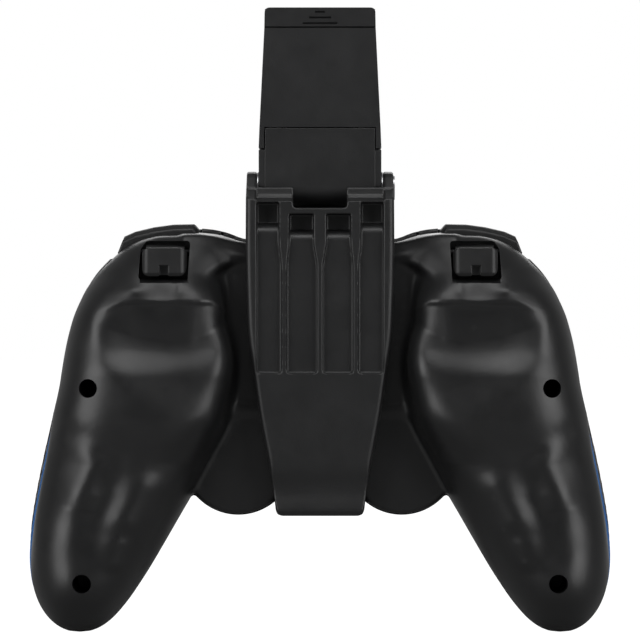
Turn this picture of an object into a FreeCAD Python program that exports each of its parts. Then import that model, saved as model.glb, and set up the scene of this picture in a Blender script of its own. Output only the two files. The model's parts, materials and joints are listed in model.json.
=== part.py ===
"""Handheld gamepad with a clip-on phone holder, in millimetres.

Upright as it is photographed: +Z runs from the grip tips up to the phone holder, the back of the case
faces -Y and the face with the sticks faces +Y.  Left and right are the player's own: left is +X.
The origin lies midway between the grip tips.
"""
import FreeCAD
import Part
import math
import os

V = FreeCAD.Vector
X_AXIS, Y_AXIS, Z_AXIS = V(1, 0, 0), V(0, 1, 0), V(0, 0, 1)
LEFT, RIGHT = 1, -1
SIDES = (("left", LEFT), ("right", RIGHT))

# Clearances
SHUT_GAP = 0.2            # between the two half shells
RUNNING_GAP = 0.3         # round every button and moving piece
SEAT_GAP = 0.1            # between pieces that seat on each other
PIN_GAP = 0.05            # round a pin in its bore

# Case walls and the shut line, which sweeps back down the grips
FACE_Y = 13.5
FACE_WALL = 2.6
WALL = 2.2
SHUT_Y = -1.0
SHUT_TOP_Z = 62.0
SHUT_TIP_Y = -13.0

# One hand grip with its palm hump and finger groove, level by level up the case:
# height, middle, half width, front, back, depth of the widest point
GRIP_TIP = (63.3, -14.0)
LOBE_LEVELS = (
    (1.2, 63.2, 4.9, -8.0, -19.0, -13.5),
    (4.6, 63.1, 9.3, -3.5, -23.0, -10.5),
    (10.5, 62.4, 13.3, 0.5, -25.5, -8.5),
    (18.0, 60.8, 16.5, 4.0, -26.5, -6.5),
    (27.5, 58.0, 19.2, 7.5, -26.8, -4.5),
    (37.0, 54.6, 21.3, 10.0, -26.0, -3.0),
    (47.0, 50.7, 23.2, 12.0, -25.5, -2.0),
    (57.0, 47.4, 24.2, 13.0, -26.5, -1.0),
    (67.0, 45.9, 23.5, 13.2, -26.0, 0.0),
    (75.0, 45.5, 22.4, 13.2, -23.6, 0.0),
    (80.5, 45.4, 21.3, 13.2, -20.5, 0.0),
    (85.0, 44.9, 20.0, 13.2, -19.8, 0.0),
    (89.2, 44.2, 18.8, 13.2, -21.8, 0.0),
    (95.0, 42.3, 17.4, 13.0, -18.2, 0.0),
    (100.0, 39.7, 15.5, 12.4, -14.0, 0.0),
    (104.0, 38.0, 12.0, 10.0, -9.0, 0.0),
)
LOBE_POINTS = 16
BACK_FULLNESS = 2.35      # 2 is an ellipse, more is squarer
HUMP_FULLNESS = 3.2       # the palm hump is squarer than the grip
HUMP_FULL_Z = (46.0, 60.0, 86.0, 95.0)    # the back turns square between the first two heights
FACE_FULLNESS = 4.0
FULL_FACE_Z = (40.0, 70.0)    # the face turns from round to nearly flat between these heights
HOLLOW_LEVELS = (4, 6, 8, 10, 12)
HOLLOW_SHARE = 0.8        # of the lobe's own half widths, less the wall
# What is scooped out of the palm side: a dish in the hump and a channel that runs out down the grip
DISH_X = 46.0
DISH_Z = 57.0
DISH_RADIUS = 13.0
DISH_DEPTH = 1.1
SCOOP_TOP = (53.2, 44.0)
SCOOP_LOW = (61.6, 16.0)
SCOOP_WIDTH = 6.2         # to each side of its line
SCOOP_DEPTH = 2.0

# Middle of the case
MIDDLE_HALF_WIDTH = 31.6
MIDDLE_BACK = -9.0
MIDDLE_LOW_Z = 57.0
CREST = ((19.9, 104.0), (25.1, 105.1), (31.6, 106.3))     # top edge of the front shell
BACK_CREST_DROP = 1.6
SHOULDER = (2.6, 3.0)     # depth and height of the chamfer under the back shell's top edge
CREST_FRONT_SLOPE = 3.0
CREST_NOTCH_X = 26.2
CREST_NOTCH = 0.8

# Flat face that carries the buttons
PANEL_FACE_Z = (58.0, 97.0)
PANEL_FACE_X = (46.0, 38.0)      # half width at the bottom and at the top
PANEL_FACE_DEEP = 6.0

# Raised strip under the clip band
CORE_BACK = -13.0
CORE_TOP_BACK = -8.0
CORE_LOW_Z = 34.2
CORE_SHOULDER_Z = 92.0
CORE_TOP_Z = 101.2
CORE_INSET = 0.6
CORE_CORNER = 2.0

# Stick pods
POD_X = 21.8
POD_Z = 45.6
POD_RADIUS = 15.3
POD_BACK = -9.0
POD_FRONT = 15.0
POD_WALL = 2.4
POD_RIM = 1.0

# Screw wells in the back shell
WELLS = ((60.6, 64.4, 6.5), (62.0, 13.6, 4.0))     # x, z, thread's reach past the shut line
WELL_RADIUS = 2.45
WELL_FLOOR = 2.5
BOSS_WALL = 2.2
BOSS_STEP = 1.2           # how much thinner a boss is inside the case than at the wall
SCREW_HEAD_RADIUS = 2.0
SCREW_HEAD = 1.6
SCREW_RADIUS = 1.1

# Coloured strip let into the outer edge of each grip
TRIM_THICK = 1.8
TRIM_DEPTH = 2.4
TRIM_Z = (12.0, 66.5)

# Circuit board and battery
BOARD_Y = 0.0
BOARD_THICK = 1.6
BOARD_SIDE_GAP = 0.65     # from the board's side edge to the screw bosses
BOARD_Z = (61.8, 95.0)
BOARD_CHAMFER = 8.0
TONGUE_HALF_WIDTH = 30.0
TONGUE_LOW_Z = 38.0
ROOM_MARGIN = 1.4         # between the board's edge and the case
POSTS = ((28.0, 90.0), (28.0, 63.0))
POST_RADIUS = 2.4
BATTERY_WIDE = 44.0
BATTERY_THICK = 5.0
BATTERY_TALL = 30.0
BATTERY_LOW_Z = 64.0
BATTERY_CORNER = 1.5

# Thumb sticks
PIVOT_Y = 5.5
MODULE_HALF = 6.6
MODULE_HEIGHT = 6.4
MODULE_WALL = 1.0
YOKE_HALF_LENGTH = 5.2
YOKE_HALF_WIDTH = 4.6
YOKE_BAR = 1.4
YOKE_THICK = 2.2
YOKE_PIN_RADIUS = 0.8
YOKE_PIN = 1.2
HUB_HALF = 2.4
HUB_THICK = 3.0
HUB_PIN_RADIUS = 0.7
STEM_RADIUS = 1.6
CLICK_TRAVEL = 0.5
DOME_RADIUS = 11.6
DOME_WALL = 0.9
DOME_ANGLE = 62.0
STICK_HOLE_RADIUS = 8.4
NECK_RADIUS = 3.4
CAP_RADIUS = 9.0
CAP_BOTTOM = 21.6
CAP_THICK = 4.2
CAP_EDGE = 1.2
TOP_RADIUS = 7.4
TOP_THICK = 1.2
TOP_DISH = 0.7

# Direction pad
DPAD_X = 45.5
DPAD_Z = 76.0
DPAD_HALF = 11.5
DPAD_ARM = 3.9
DPAD_PROUD = 2.8
DPAD_DISH = 0.8
DPAD_HOLE_GAP = 0.6
FLANGE_DROP = 0.3         # from the wall's inner face to a button's flange
DPAD_FLANGE_DROP = 1.4
DPAD_FLANGE_RADIUS = 12.6
FLANGE_THICK = 1.2
BALL_RADIUS = 2.2
BALL_CAP = 0.65
BALL_NECK = 1.3
BALL_DROP = 2.4           # from the wall's inner face to the ball's centre

# Face buttons
BUTTON_SPREAD = 9.0
BUTTON_RADIUS = 4.5
BUTTON_PROUD = 2.1
BUTTON_FLANGE = 1.0
BUTTON_FOOT = 2.6         # from the flange's top to the foot's end
BUTTON_FOOT_RADIUS = 2.4
BUTTON_EDGE = 0.6
MEMBRANE = 1.2
MEMBRANE_DOME = 3.9
DOME_FOOT_RADIUS = 3.9
DOME_TIP_RADIUS = 2.6
PAD_SPREAD = 8.6

# Menu buttons
MENU_X = 9.5
MENU_Z = 71.0
MENU_HALF = (3.0, 1.6)
HOME_Z = 60.5
HOME_RADIUS = 4.0
MENU_PROUD = 0.9
SWITCH_HALF = 2.6
SWITCH_HEIGHT = 4.4
LED_Z = 79.5
LED_PITCH = 5.0
LED_COUNT = 4
LED_HALF = (1.4, 0.6)
PIPE_THICK = 1.4

# Shoulder buttons: the outline of the top seen from behind
BUMPER_TOP = ((54.0, 100.6), (52.4, 104.4), (49.4, 105.9), (44.3, 107.2), (39.1, 107.8),
              (33.6, 107.9), (32.2, 106.4))
BUMPER_LOW_Z = 100.4
BUMPER_BACK = -5.2
BUMPER_FRONT = 9.2
BUMPER_WALL = 1.6
BUMPER_EDGE = 1.0
BUMPER_SWING = 3.0
BUMPER_POCKET_Z = 98.6
BUMPER_PIN_X = 35.0
BUMPER_PIN_Z = 102.6
BUMPER_PIN_RADIUS = 1.0
BUMPER_PIN_SEAT = 1.5
PLUNGER_X = 48.7
PLUNGER_HALF = 1.0
PLUNGER_LOW_Z = 94.4

# Triggers, seen from the side about their pin
TRIGGER_X = 40.9
TRIGGER_HALF = 5.8
TRIGGER_GAP = 0.8
TRIGGER_PIN_Y = -10.0
TRIGGER_PIN_Z = 100.2
TRIGGER_PIN_RADIUS = 1.1
TRIGGER_HUB = 2.2
TRIGGER_TOP = (-13.6, 101.6)
TRIGGER_BULGE = (-17.8, 99.4)
TRIGGER_LIP = (-20.4, 94.8)
TRIGGER_TOE = (-19.4, 94.0)
TRIGGER_HEEL = (-12.0, 95.6)
TRIGGER_TAB = (-6.0, 95.2, 96.8)
TRIGGER_NOTCH = (2.6, 2.6, 1.4)
TRIGGER_EDGE = 1.4
TRIGGER_SWING = 7.0
WINDOW_Z = (92.9, 103.2)
NEST_WALL = 2.0
NEST_FRONT = -5.5

# Shoulder switch boards
SIDE_BOARD_X = (36.0, 50.4)
SIDE_BOARD_Z = (85.5, 95.5)
SIDE_BOARD_THICK = 1.2
SIDE_SWITCH = 1.6

# Charging socket in the top edge
USB_HALF_WIDTH = 3.75
USB_THICK = 2.6
USB_DEPTH = 6.2
USB_SHEET = 0.35
PLUG_HALF = (6.6, 3.6)

# Clip band round the middle of the case: half widths at heights
BAND_OUTLINE = ((11.5, 30.6), (12.4, 38.0), (16.1, 58.3), (17.5, 68.1), (19.1, 81.8), (19.6, 103.7),
                (19.5, 119.0))
BAND_GAP = 0.3
BAND_WALL = 3.2
BAND_LIP = 2.4
BAND_TOP_LIP_Z = 94.0
BAND_HOOK_HALF = 7.4
BAND_HOOK_Z = 38.0
BAND_CORNER = 2.0
CHANNEL_LOW_Z = 68.3
CHANNELS = ((10.8, 16.7, 107.7, 113.6), (1.7, 8.1, 105.9, 110.4))   # edges, pocket's bottom and top
CHANNEL_DEPTH = 1.3
CHANNEL_END = 0.8
POCKET_WALL = 1.2         # left in front of a pocket
POCKET_BEND = 2.4         # the channel's floor curves into its pocket
BAR_TOP_Z = 114.1
BAR_FRONT = -10.8
NOTCH_HALF = 7.1
NOTCH_Z = 111.8
NOTCH_CORNER = 1.0
CHEEK_INNER_X = 16.8
CHEEK_TOP_Z = 121.9
CHEEK_FRONT = 6.0

# Hinge between the band's cheeks and the phone arm
HINGE_Y = -3.5
HINGE_Z = 117.6
HINGE_LUG_RADIUS = 4.3
HINGE_PIN_RADIUS = 1.6
HINGE_HEAD_RADIUS = 3.3
HINGE_HEAD = 0.9
HINGE_HEAD_PROUD = 0.4
WASHER = 0.4
WASHER_RADIUS = 3.8

# Phone arm: the hinged base
PANEL_HALF = 14.6
ARM_BACK = -8.5
ARM_FRONT = 0.5
PANEL_TOP_Z = 133.2
EAR_TOP_Z = 127.5
ARM_GROOVE = 0.3
BLADE_HALF = 8.6
BLADE_THICK = 2.0
BLADE_END = 1.0           # the blade ends this far below the sleeve's top
LEDGE_Z = (113.2, 116.2)
LEDGE_HEEL_Z = 111.6       # the ledge comes down this far under the hinge, behind the strap's window
LEDGE_FRONT = 13.0
HOOK_THICK = 1.8
HOOK_HEIGHT = 2.4
JAW_PAD = 1.0
PAD_MARGIN = 0.4
REST_PAD_Z = (122.6, 132.4)
REST_PAD_HALF = 11.0

# Phone arm: the sleeve that runs on the blade, and the jaw that runs on the sleeve
SLEEVE_WALL = 1.1
SLEEVE_END = 0.6          # the sleeve ends this far below the jaw's step
SLIDE_GAP = 0.25
SLEEVE_TRAVEL = 18.0
JAW_OUTLINE = ((16.3, 127.9), (16.1, 133.2), (14.8, 159.8), (14.7, 165.3))
JAW_STEP_Z = 159.8
JAW_STEP = 0.4
JAW_LIP_Z = 160.8
JAW_TRAVEL = 18.0
JAW_CORNER = 1.0
GRIP_BARS = ((1.4, 162.4), (2.9, 161.2), (4.6, 160.0))     # half length and height of the pull marks
GRIP_BAR = 0.35


def box(x0, x1, y0, y1, z0, z1):
    """A block between two corners, given in either order."""
    low = V(min(x0, x1), min(y0, y1), min(z0, z1))
    return Part.makeBox(abs(x1 - x0), abs(y1 - y0), abs(z1 - z0), low)


def rod_x(y, z, radius, x0, x1):
    return Part.makeCylinder(radius, abs(x1 - x0), V(min(x0, x1), y, z), X_AXIS)


def rod_y(x, z, radius, y0, y1):
    return Part.makeCylinder(radius, abs(y1 - y0), V(x, min(y0, y1), z), Y_AXIS)


def rod_z(x, y, radius, z0, z1):
    return Part.makeCylinder(radius, abs(z1 - z0), V(x, y, min(z0, z1)), Z_AXIS)


def ball(x, y, z, radius):
    return Part.makeSphere(radius, V(x, y, z))


def wire(points, place):
    """A closed wire through flat points; ("arc", through, end) is a round stretch."""
    edges = []
    here = place(points[0])
    for p in list(points[1:]) + [points[0]]:
        if p[0] == "arc":
            end = place(p[2])
            edges.append(Part.Arc(here, place(p[1]), end).toShape())
        else:
            end = place(p)
            if here.distanceToPoint(end) > 1e-6:
                edges.append(Part.LineSegment(here, end).toShape())
        here = end
    return Part.Wire(edges)


def plate_y(points, y0, y1):
    """A plate whose outline (x, z) is drawn as seen along Y."""
    face = Part.Face(wire(points, lambda p: V(p[0], y0, p[1])))
    return face.extrude(V(0, y1 - y0, 0))


def plate_x(points, x0, x1):
    """A plate whose outline (y, z) is drawn in the side view, along X."""
    face = Part.Face(wire(points, lambda p: V(x0, p[0], p[1])))
    return face.extrude(V(x1 - x0, 0, 0))


def both_sides(half_outline):
    """A closed outline from its +X half, listed upward."""
    return list(half_outline) + [(-x, z) for x, z in reversed(half_outline)]


def inset(half_outline, side, below=0.0, above=0.0):
    """A half outline moved in by side, its lowest point raised by below and its highest lowered by above."""
    moved = [[x - side, z] for x, z in half_outline]
    moved[0][1] += below
    moved[-1][1] -= above
    return [tuple(p) for p in moved]


def rounded(solid, radius, chosen):
    """The solid with the edges that chosen picks rounded."""
    edges = [e for e in solid.Edges if chosen(e)]
    return solid.makeFillet(radius, edges) if edges else solid


def along(edge, axis):
    """True for a straight edge that runs along an axis."""
    if not isinstance(edge.Curve, (Part.Line, Part.LineSegment)):
        return False
    return abs(edge.tangentAt(edge.FirstParameter).dot(axis)) > 0.999


def at_level(edge, axis, level):
    """True for an edge that lies in the plane square to an axis at a level."""
    return all(abs(v.Point.dot(axis) - level) < 1e-3 for v in edge.Vertexes)


def mirrored(shape, side=RIGHT):
    """The shape itself for the player's left, its mirror image for the right."""
    return shape if side == LEFT else shape.mirror(V(0, 0, 0), X_AXIS)


def pair(shape):
    return [shape, mirrored(shape)]


def joined(shapes):
    shape = shapes[0].fuse(shapes[1:]) if len(shapes) > 1 else shapes[0]
    return shape.removeSplitter()


def export(name, shape):
    shape.exportStep("parts/%s.step" % name)


# The case's outer form

def face_fullness(z):
    share = min(max((z - FULL_FACE_Z[0]) / (FULL_FACE_Z[1] - FULL_FACE_Z[0]), 0.0), 1.0)
    return BACK_FULLNESS + (FACE_FULLNESS - BACK_FULLNESS) * share


def back_fullness(z):
    z0, z1, z2, z3 = HUMP_FULL_Z
    share = min(max((z - z0) / (z1 - z0), 0.0), max((z3 - z) / (z3 - z2), 0.0), 1.0)
    return BACK_FULLNESS + (HUMP_FULLNESS - BACK_FULLNESS) * share


def lobe_section(level, thinner):
    """One level of a hand grip: a closed curve, round behind and flatter towards the face."""
    z, middle, half, front, back, widest = level
    points = []
    for i in range(LOBE_POINTS):
        angle = 2 * math.pi * i / LOBE_POINTS
        c, s = math.cos(angle), math.sin(angle)
        full = face_fullness(z) if s > 0 else back_fullness(z)
        reach = (front - widest if s > 0 else widest - back) - thinner
        x = middle + (half - thinner) * math.copysign(abs(c) ** (2 / full), c)
        y = widest + reach * math.copysign(abs(s) ** (2 / full), s)
        points.append(V(x, y, z))
    curve = Part.BSplineCurve()
    steps = [i / LOBE_POINTS for i in range(LOBE_POINTS + 1)]
    curve.interpolate(Points=points, PeriodicFlag=True, Parameters=steps)
    return Part.Wire([curve.toShape()])


def lobe(thinner=0.0, levels=LOBE_LEVELS):
    """The player's left grip, palm hump and finger groove as one smooth form."""
    sections = [lobe_section(level, thinner) for level in levels]
    if levels is LOBE_LEVELS and thinner == 0.0:
        sections.insert(0, Part.Vertex(V(GRIP_TIP[0], GRIP_TIP[1], 0)))
    return Part.makeLoft(sections, True, False)


def lobe_back(z):
    """How far back a lobe reaches at one height."""
    for low, high in zip(LOBE_LEVELS, LOBE_LEVELS[1:]):
        if low[0] <= z <= high[0]:
            return low[4] + (high[4] - low[4]) * (z - low[0]) / (high[0] - low[0])


def palm_dish():
    radius = (DISH_RADIUS ** 2 + DISH_DEPTH ** 2) / (2 * DISH_DEPTH)
    return ball(DISH_X, lobe_back(DISH_Z) - radius + DISH_DEPTH, DISH_Z, radius)


def grip_scoop():
    """A long spindle that touches the grip's back only between its two ends, where it runs out."""
    radius = (SCOOP_WIDTH ** 2 + SCOOP_DEPTH ** 2) / (2 * SCOOP_DEPTH)
    (x0, z0), (x1, z1) = SCOOP_TOP, SCOOP_LOW
    middle = V((x0 + x1) / 2, lobe_back((z0 + z1) / 2) - radius + SCOOP_DEPTH, (z0 + z1) / 2)
    way = V(x1 - x0, 0, z1 - z0)
    reach = way * (0.5 / math.sqrt(SCOOP_DEPTH / radius))
    start, end = middle - reach, middle + reach
    bow = Part.Arc(start, middle + V(0, radius, 0), end).toShape()
    blade = Part.Face(Part.Wire([bow, Part.makeLine(end, start)]))
    return blade.revolve(middle, way, 360)


def lobe_hollow():
    """What is moulded out of a lobe: a plain tapered room that keeps at least the wall all round."""
    sections = []
    for index in HOLLOW_LEVELS:
        z, middle, half, front, back, widest = LOBE_LEVELS[index]
        half = half * HOLLOW_SHARE - WALL
        y0 = widest - (widest - back) * HOLLOW_SHARE + WALL
        y1 = widest + (front - widest) * HOLLOW_SHARE - WALL
        corners = ((middle - half, y0), (middle + half, y0), (middle + half, y1), (middle - half, y1))
        sections.append(Part.makePolygon([V(x, y, z) for x, y in corners + corners[:1]]))
    room = Part.makeLoft(sections, True, True)
    for x, z, reach in WELLS:
        room = room.cut(rod_y(x, z, WELL_RADIUS + BOSS_WALL, -60, 60))
    return room


def core_outline(step=0.0):
    """The raised strip under the band, a little narrower than the band itself."""
    low = [p for p in BAND_OUTLINE if p[1] < CORE_TOP_Z]
    half = [(x - CORE_INSET - step, z) for x, z in low]
    half[0] = (half[0][0], CORE_LOW_Z + step)
    half.append((half[-1][0], CORE_TOP_Z - step))
    return both_sides(half)


def core_side(step=0.0):
    back, top = CORE_BACK + step, CORE_TOP_Z - step
    front, low = FACE_Y - step, CORE_LOW_Z + step
    return [(back, low), (back, CORE_SHOULDER_Z), (CORE_TOP_BACK + step, top), (front, top), (front, low)]


def core():
    """The case between the pods and under the clip band."""
    strip = plate_x(core_side(), -MIDDLE_HALF_WIDTH, MIDDLE_HALF_WIDTH)
    strip = rounded(strip, CORE_CORNER, lambda e: along(e, X_AXIS))
    return strip.common(plate_y(core_outline(), CORE_BACK - 1, FACE_Y + 1))


def wings(drop):
    """The case on both sides of the band, with its arched top edge and its sloping shoulder."""
    x0, x1 = CREST[0][0], MIDDLE_HALF_WIDTH
    low = [(x1, MIDDLE_LOW_Z)] + [(x, z - drop) for x, z in reversed(CREST)]
    left = plate_y(low + [(x0, CORE_TOP_Z), (0, CORE_TOP_Z), (0, MIDDLE_LOW_Z)], MIDDLE_BACK, FACE_Y)
    top = CREST[-1][1] + 1
    fall = CREST[0][1] - drop
    shade = [(MIDDLE_BACK - 1, fall - SHOULDER[1]), (MIDDLE_BACK, fall - SHOULDER[1]),
             (MIDDLE_BACK + SHOULDER[0], fall), (MIDDLE_BACK + 2 * SHOULDER[0], top), (MIDDLE_BACK - 1, top)]
    slope = [(FACE_Y + 1, fall - 2 * CREST_FRONT_SLOPE), (FACE_Y, fall - 2 * CREST_FRONT_SLOPE),
             (FACE_Y - CREST_FRONT_SLOPE, top), (FACE_Y + 1, top)]
    left = left.cut([plate_x(shade, -1, x1 + 1), plate_x(slope, -1, x1 + 1)])
    return pair(left)


def face_panel():
    """The flat part of the face between the two hands."""
    low, high = PANEL_FACE_Z
    half = [(PANEL_FACE_X[0], low), (PANEL_FACE_X[0], (low + high) / 2), (PANEL_FACE_X[1], high)]
    return plate_y(both_sides(half), FACE_Y - PANEL_FACE_DEEP, FACE_Y)


def pod(side, wall=0.0):
    """The round housing of one thumb stick."""
    x = side * POD_X
    drum = rod_y(x, POD_Z, POD_RADIUS - wall, POD_BACK + wall, POD_FRONT - wall)
    return rounded(drum, POD_RIM, lambda e: isinstance(e.Curve, Part.Circle)) if wall == 0 else drum


def shut_space(offset):
    """Everything behind the shut line, moved forward by offset."""
    reach, far = 200, -100
    y, tip = SHUT_Y + offset, SHUT_TIP_Y + offset
    bend = (y + (tip - y) * 0.26, SHUT_TOP_Z * 0.48)
    side = [(far, -20), (tip, -20), (tip, 0), ("arc", bend, (y, SHUT_TOP_Z)), (y, 200), (far, 200)]
    return plate_x(side, -reach, reach)


def outer_form(drop):
    hand = lobe().cut([palm_dish(), grip_scoop()])
    parts = pair(hand) + [core(), face_panel()] + wings(drop) + [pod(LEFT), pod(RIGHT)]
    return parts[0].fuse(parts[1:])


def boss_radius():
    """The screw bosses inside the case, which are thinner than at the wall."""
    return WELL_RADIUS + BOSS_WALL - BOSS_STEP


def board_half_width():
    """The board reaches to the upper screw bosses."""
    return WELLS[0][0] - boss_radius() - BOARD_SIDE_GAP


def board_outline(margin=0.0):
    """The main board's own outline, or the room for it with a margin."""
    wide, low, high = board_half_width() + margin, BOARD_Z[0] - margin, BOARD_Z[1] + margin
    narrow, tongue = TONGUE_HALF_WIDTH + margin, TONGUE_LOW_Z - margin
    corner = BOARD_CHAMFER
    half = [(narrow - corner, tongue), (narrow, tongue + corner), (narrow, low), (wide, low),
            (wide, high - corner), (wide - corner, high)]
    return both_sides(half)


def inner_room():
    """The space inside the middle of the case, shared by both shells."""
    inner_face = FACE_Y - FACE_WALL
    side_x = DPAD_X + BUTTON_SPREAD + BUTTON_RADIUS + BUTTON_FLANGE + RUNNING_GAP
    roof = BUMPER_POCKET_Z - WALL
    half = [(side_x, BOARD_Z[0] - ROOM_MARGIN / 2), (side_x, roof - BOARD_CHAMFER - 4),
            (side_x - BOARD_CHAMFER, roof)]
    deck = plate_y(both_sides(half), NEST_FRONT, inner_face)
    low = plate_y(board_outline(ROOM_MARGIN / 2), SHUT_Y - 2.0, BOARD_Y + BOARD_THICK + 4)
    back = box(-MIDDLE_HALF_WIDTH + WALL, MIDDLE_HALF_WIDTH - WALL, MIDDLE_BACK + WALL, inner_face,
               MIDDLE_LOW_Z + WALL, CORE_TOP_Z - WALL)
    spine = box(-8.8, 8.8, CORE_BACK + WALL, inner_face, CORE_LOW_Z + WALL + 1, CORE_SHOULDER_Z)
    rooms = [deck, low, back, spine, pod(LEFT, POD_WALL), pod(RIGHT, POD_WALL)]
    room = rooms[0].fuse(rooms[1:])
    columns = []
    for x, z, reach in WELLS:
        columns += pair(rod_y(x, z, boss_radius(), -60, 60))
    return room.cut(columns)


# Openings for the shoulder buttons and triggers

def bumper_pocket():
    """The slot in the top edge that one shoulder button sits in."""
    x0 = CREST[-1][0]
    return box(x0, 80, NEST_FRONT, BUMPER_FRONT + RUNNING_GAP, BUMPER_POCKET_Z, 130)


def bumper_pin_hole():
    radius = BUMPER_PIN_RADIUS + SEAT_GAP / 2
    y0, y1 = NEST_FRONT - BUMPER_PIN_SEAT, BUMPER_FRONT + RUNNING_GAP + BUMPER_PIN_SEAT
    return rod_y(BUMPER_PIN_X, BUMPER_PIN_Z, radius, y0 - SEAT_GAP, y1 + SEAT_GAP)


def plunger_hole():
    gap = 2 * RUNNING_GAP
    return box(PLUNGER_X - PLUNGER_HALF - gap, PLUNGER_X + PLUNGER_HALF + gap, SHUT_Y - 2.4, SHUT_Y + 1.2,
               BUMPER_POCKET_Z - WALL - 1, BUMPER_POCKET_Z + 1)


def trigger_nest():
    """The solid block behind the trigger's window that carries its pin."""
    half = TRIGGER_HALF + TRIGGER_GAP + NEST_WALL
    return box(TRIGGER_X - half, TRIGGER_X + half, -40, NEST_FRONT, WINDOW_Z[0] - NEST_WALL, 110)


def trigger_window():
    """The opening for a trigger, closed at the top by a thin rim."""
    half = TRIGGER_HALF + TRIGGER_GAP
    inner = NEST_FRONT - NEST_WALL
    pocket = box(TRIGGER_X - half, TRIGGER_X + half, -40, inner, WINDOW_Z[0], WINDOW_Z[1])
    tab = box(TRIGGER_X - 2, TRIGGER_X + 2, inner - 1, NEST_FRONT + 1, TRIGGER_TAB[1] - 1, TRIGGER_TAB[2] + 1)
    reach = half + NEST_WALL - SEAT_GAP
    pin_radius = TRIGGER_PIN_RADIUS + PIN_GAP
    pin = rod_x(TRIGGER_PIN_Y, TRIGGER_PIN_Z, pin_radius, TRIGGER_X - reach, TRIGGER_X + reach)
    return pocket.fuse([tab, pin])


def trigger():
    """One trigger in side view, with its hub, its finger face and the tab that works the switch."""
    y0, z0 = TRIGGER_PIN_Y, TRIGGER_PIN_Z
    side = [(y0, z0 + TRIGGER_HUB), TRIGGER_TOP, ("arc", TRIGGER_BULGE, TRIGGER_LIP),
            TRIGGER_TOE, TRIGGER_HEEL, (TRIGGER_TAB[0] - 3.4, TRIGGER_TAB[1]), (TRIGGER_TAB[0] - 3.4, z0)]
    x0, x1 = TRIGGER_X - TRIGGER_HALF, TRIGGER_X + TRIGGER_HALF
    paddle = plate_x(side, x0, x1)
    paddle = rounded(paddle, TRIGGER_EDGE, lambda e: isinstance(e.Curve, Part.Circle))
    hub = rod_x(y0, z0, TRIGGER_HUB, x0, x1)
    back, low, high = TRIGGER_TAB
    tab = box(TRIGGER_X - 1.4, TRIGGER_X + 1.4, back - 5, back, low, high)
    wide, high, deep = TRIGGER_NOTCH
    notch = box(TRIGGER_X - wide / 2, TRIGGER_X + wide / 2, -30, TRIGGER_LIP[0] + deep + 1.2,
                TRIGGER_TOE[1] - 0.4, TRIGGER_TOE[1] + high - 0.2)
    bore = rod_x(y0, z0, TRIGGER_PIN_RADIUS + PIN_GAP, x0 - 1, x1 + 1)
    return joined([paddle, hub, tab]).cut([bore, notch])


def trigger_pin():
    reach = TRIGGER_HALF + TRIGGER_GAP + NEST_WALL - 3 * SEAT_GAP
    return rod_x(TRIGGER_PIN_Y, TRIGGER_PIN_Z, TRIGGER_PIN_RADIUS, TRIGGER_X - reach, TRIGGER_X + reach)


def bumper():
    """One shoulder button: an arched cap that is hollow underneath, with its plunger and hinge block."""
    curve = Part.BSplineCurve()
    curve.interpolate([V(x, BUMPER_BACK, z) for x, z in BUMPER_TOP])
    x0, x1 = BUMPER_TOP[-1][0], BUMPER_TOP[0][0]
    ends = [V(x0, BUMPER_BACK, BUMPER_TOP[-1][1]), V(x0, BUMPER_BACK, BUMPER_LOW_Z),
            V(x1, BUMPER_BACK, BUMPER_LOW_Z), V(x1, BUMPER_BACK, BUMPER_TOP[0][1])]
    rest = Part.makePolygon(ends if BUMPER_TOP[0][1] > BUMPER_LOW_Z else ends[:3])
    cap = Part.Face(Part.Wire([curve.toShape()] + rest.Edges)).extrude(V(0, BUMPER_FRONT - BUMPER_BACK, 0))
    cap = rounded(cap, BUMPER_EDGE, lambda e: isinstance(e.Curve, Part.BSplineCurve))
    inner = [(x - (BUMPER_WALL if x > 50 else 0), z - BUMPER_WALL) for x, z in BUMPER_TOP[1:-2]]
    block_x = BUMPER_PIN_X + BUMPER_PIN_RADIUS + BUMPER_WALL
    inner += [(block_x, inner[-1][1]), (block_x, BUMPER_LOW_Z - 1), (inner[0][0], BUMPER_LOW_Z - 1)]
    hollow = plate_y(inner, BUMPER_BACK + BUMPER_WALL, BUMPER_FRONT - BUMPER_WALL)
    plunger = box(PLUNGER_X - PLUNGER_HALF, PLUNGER_X + PLUNGER_HALF, SHUT_Y - 1.2, SHUT_Y + 0.6,
                  PLUNGER_LOW_Z, BUMPER_TOP[3][1] - 2)
    bore = rod_y(BUMPER_PIN_X, BUMPER_PIN_Z, BUMPER_PIN_RADIUS + PIN_GAP, BUMPER_BACK - 1, BUMPER_FRONT + 1)
    return joined([cap.cut(hollow), plunger]).cut(bore)


def bumper_pin():
    y0, y1 = NEST_FRONT - BUMPER_PIN_SEAT, BUMPER_FRONT + RUNNING_GAP + BUMPER_PIN_SEAT
    return rod_y(BUMPER_PIN_X, BUMPER_PIN_Z, BUMPER_PIN_RADIUS, y0, y1)


def trim_band(gap):
    """The outer rim of a grip along the shut line, with a gap all round for its seat."""
    half = TRIM_THICK / 2 + gap
    slab = shut_space(half).cut(shut_space(-half))
    keep = box(LOBE_LEVELS[3][1], 90, -40, 20, TRIM_Z[0] - gap, TRIM_Z[1] + gap)
    return slab.common(keep).cut(lobe(TRIM_DEPTH + gap, LOBE_LEVELS[1:11]))


# Screws

def case_screw(x, z, reach):
    y = well_floor(z)
    head = rod_y(x, z, SCREW_HEAD_RADIUS, y - SCREW_HEAD - SEAT_GAP, y - SEAT_GAP)
    shank = rod_y(x, z, SCREW_RADIUS, y - SEAT_GAP, shut_y(z) + reach)
    return head.fuse(shank).removeSplitter()


def shut_y(z):
    """How deep the shut line lies at a height."""
    side = shut_space(0).common(box(-1, 1, -50, 50, z - 0.01, z + 0.01))
    return side.BoundBox.YMax


def well_floor(z):
    return shut_y(z) - SHUT_GAP / 2 - WELL_FLOOR


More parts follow.
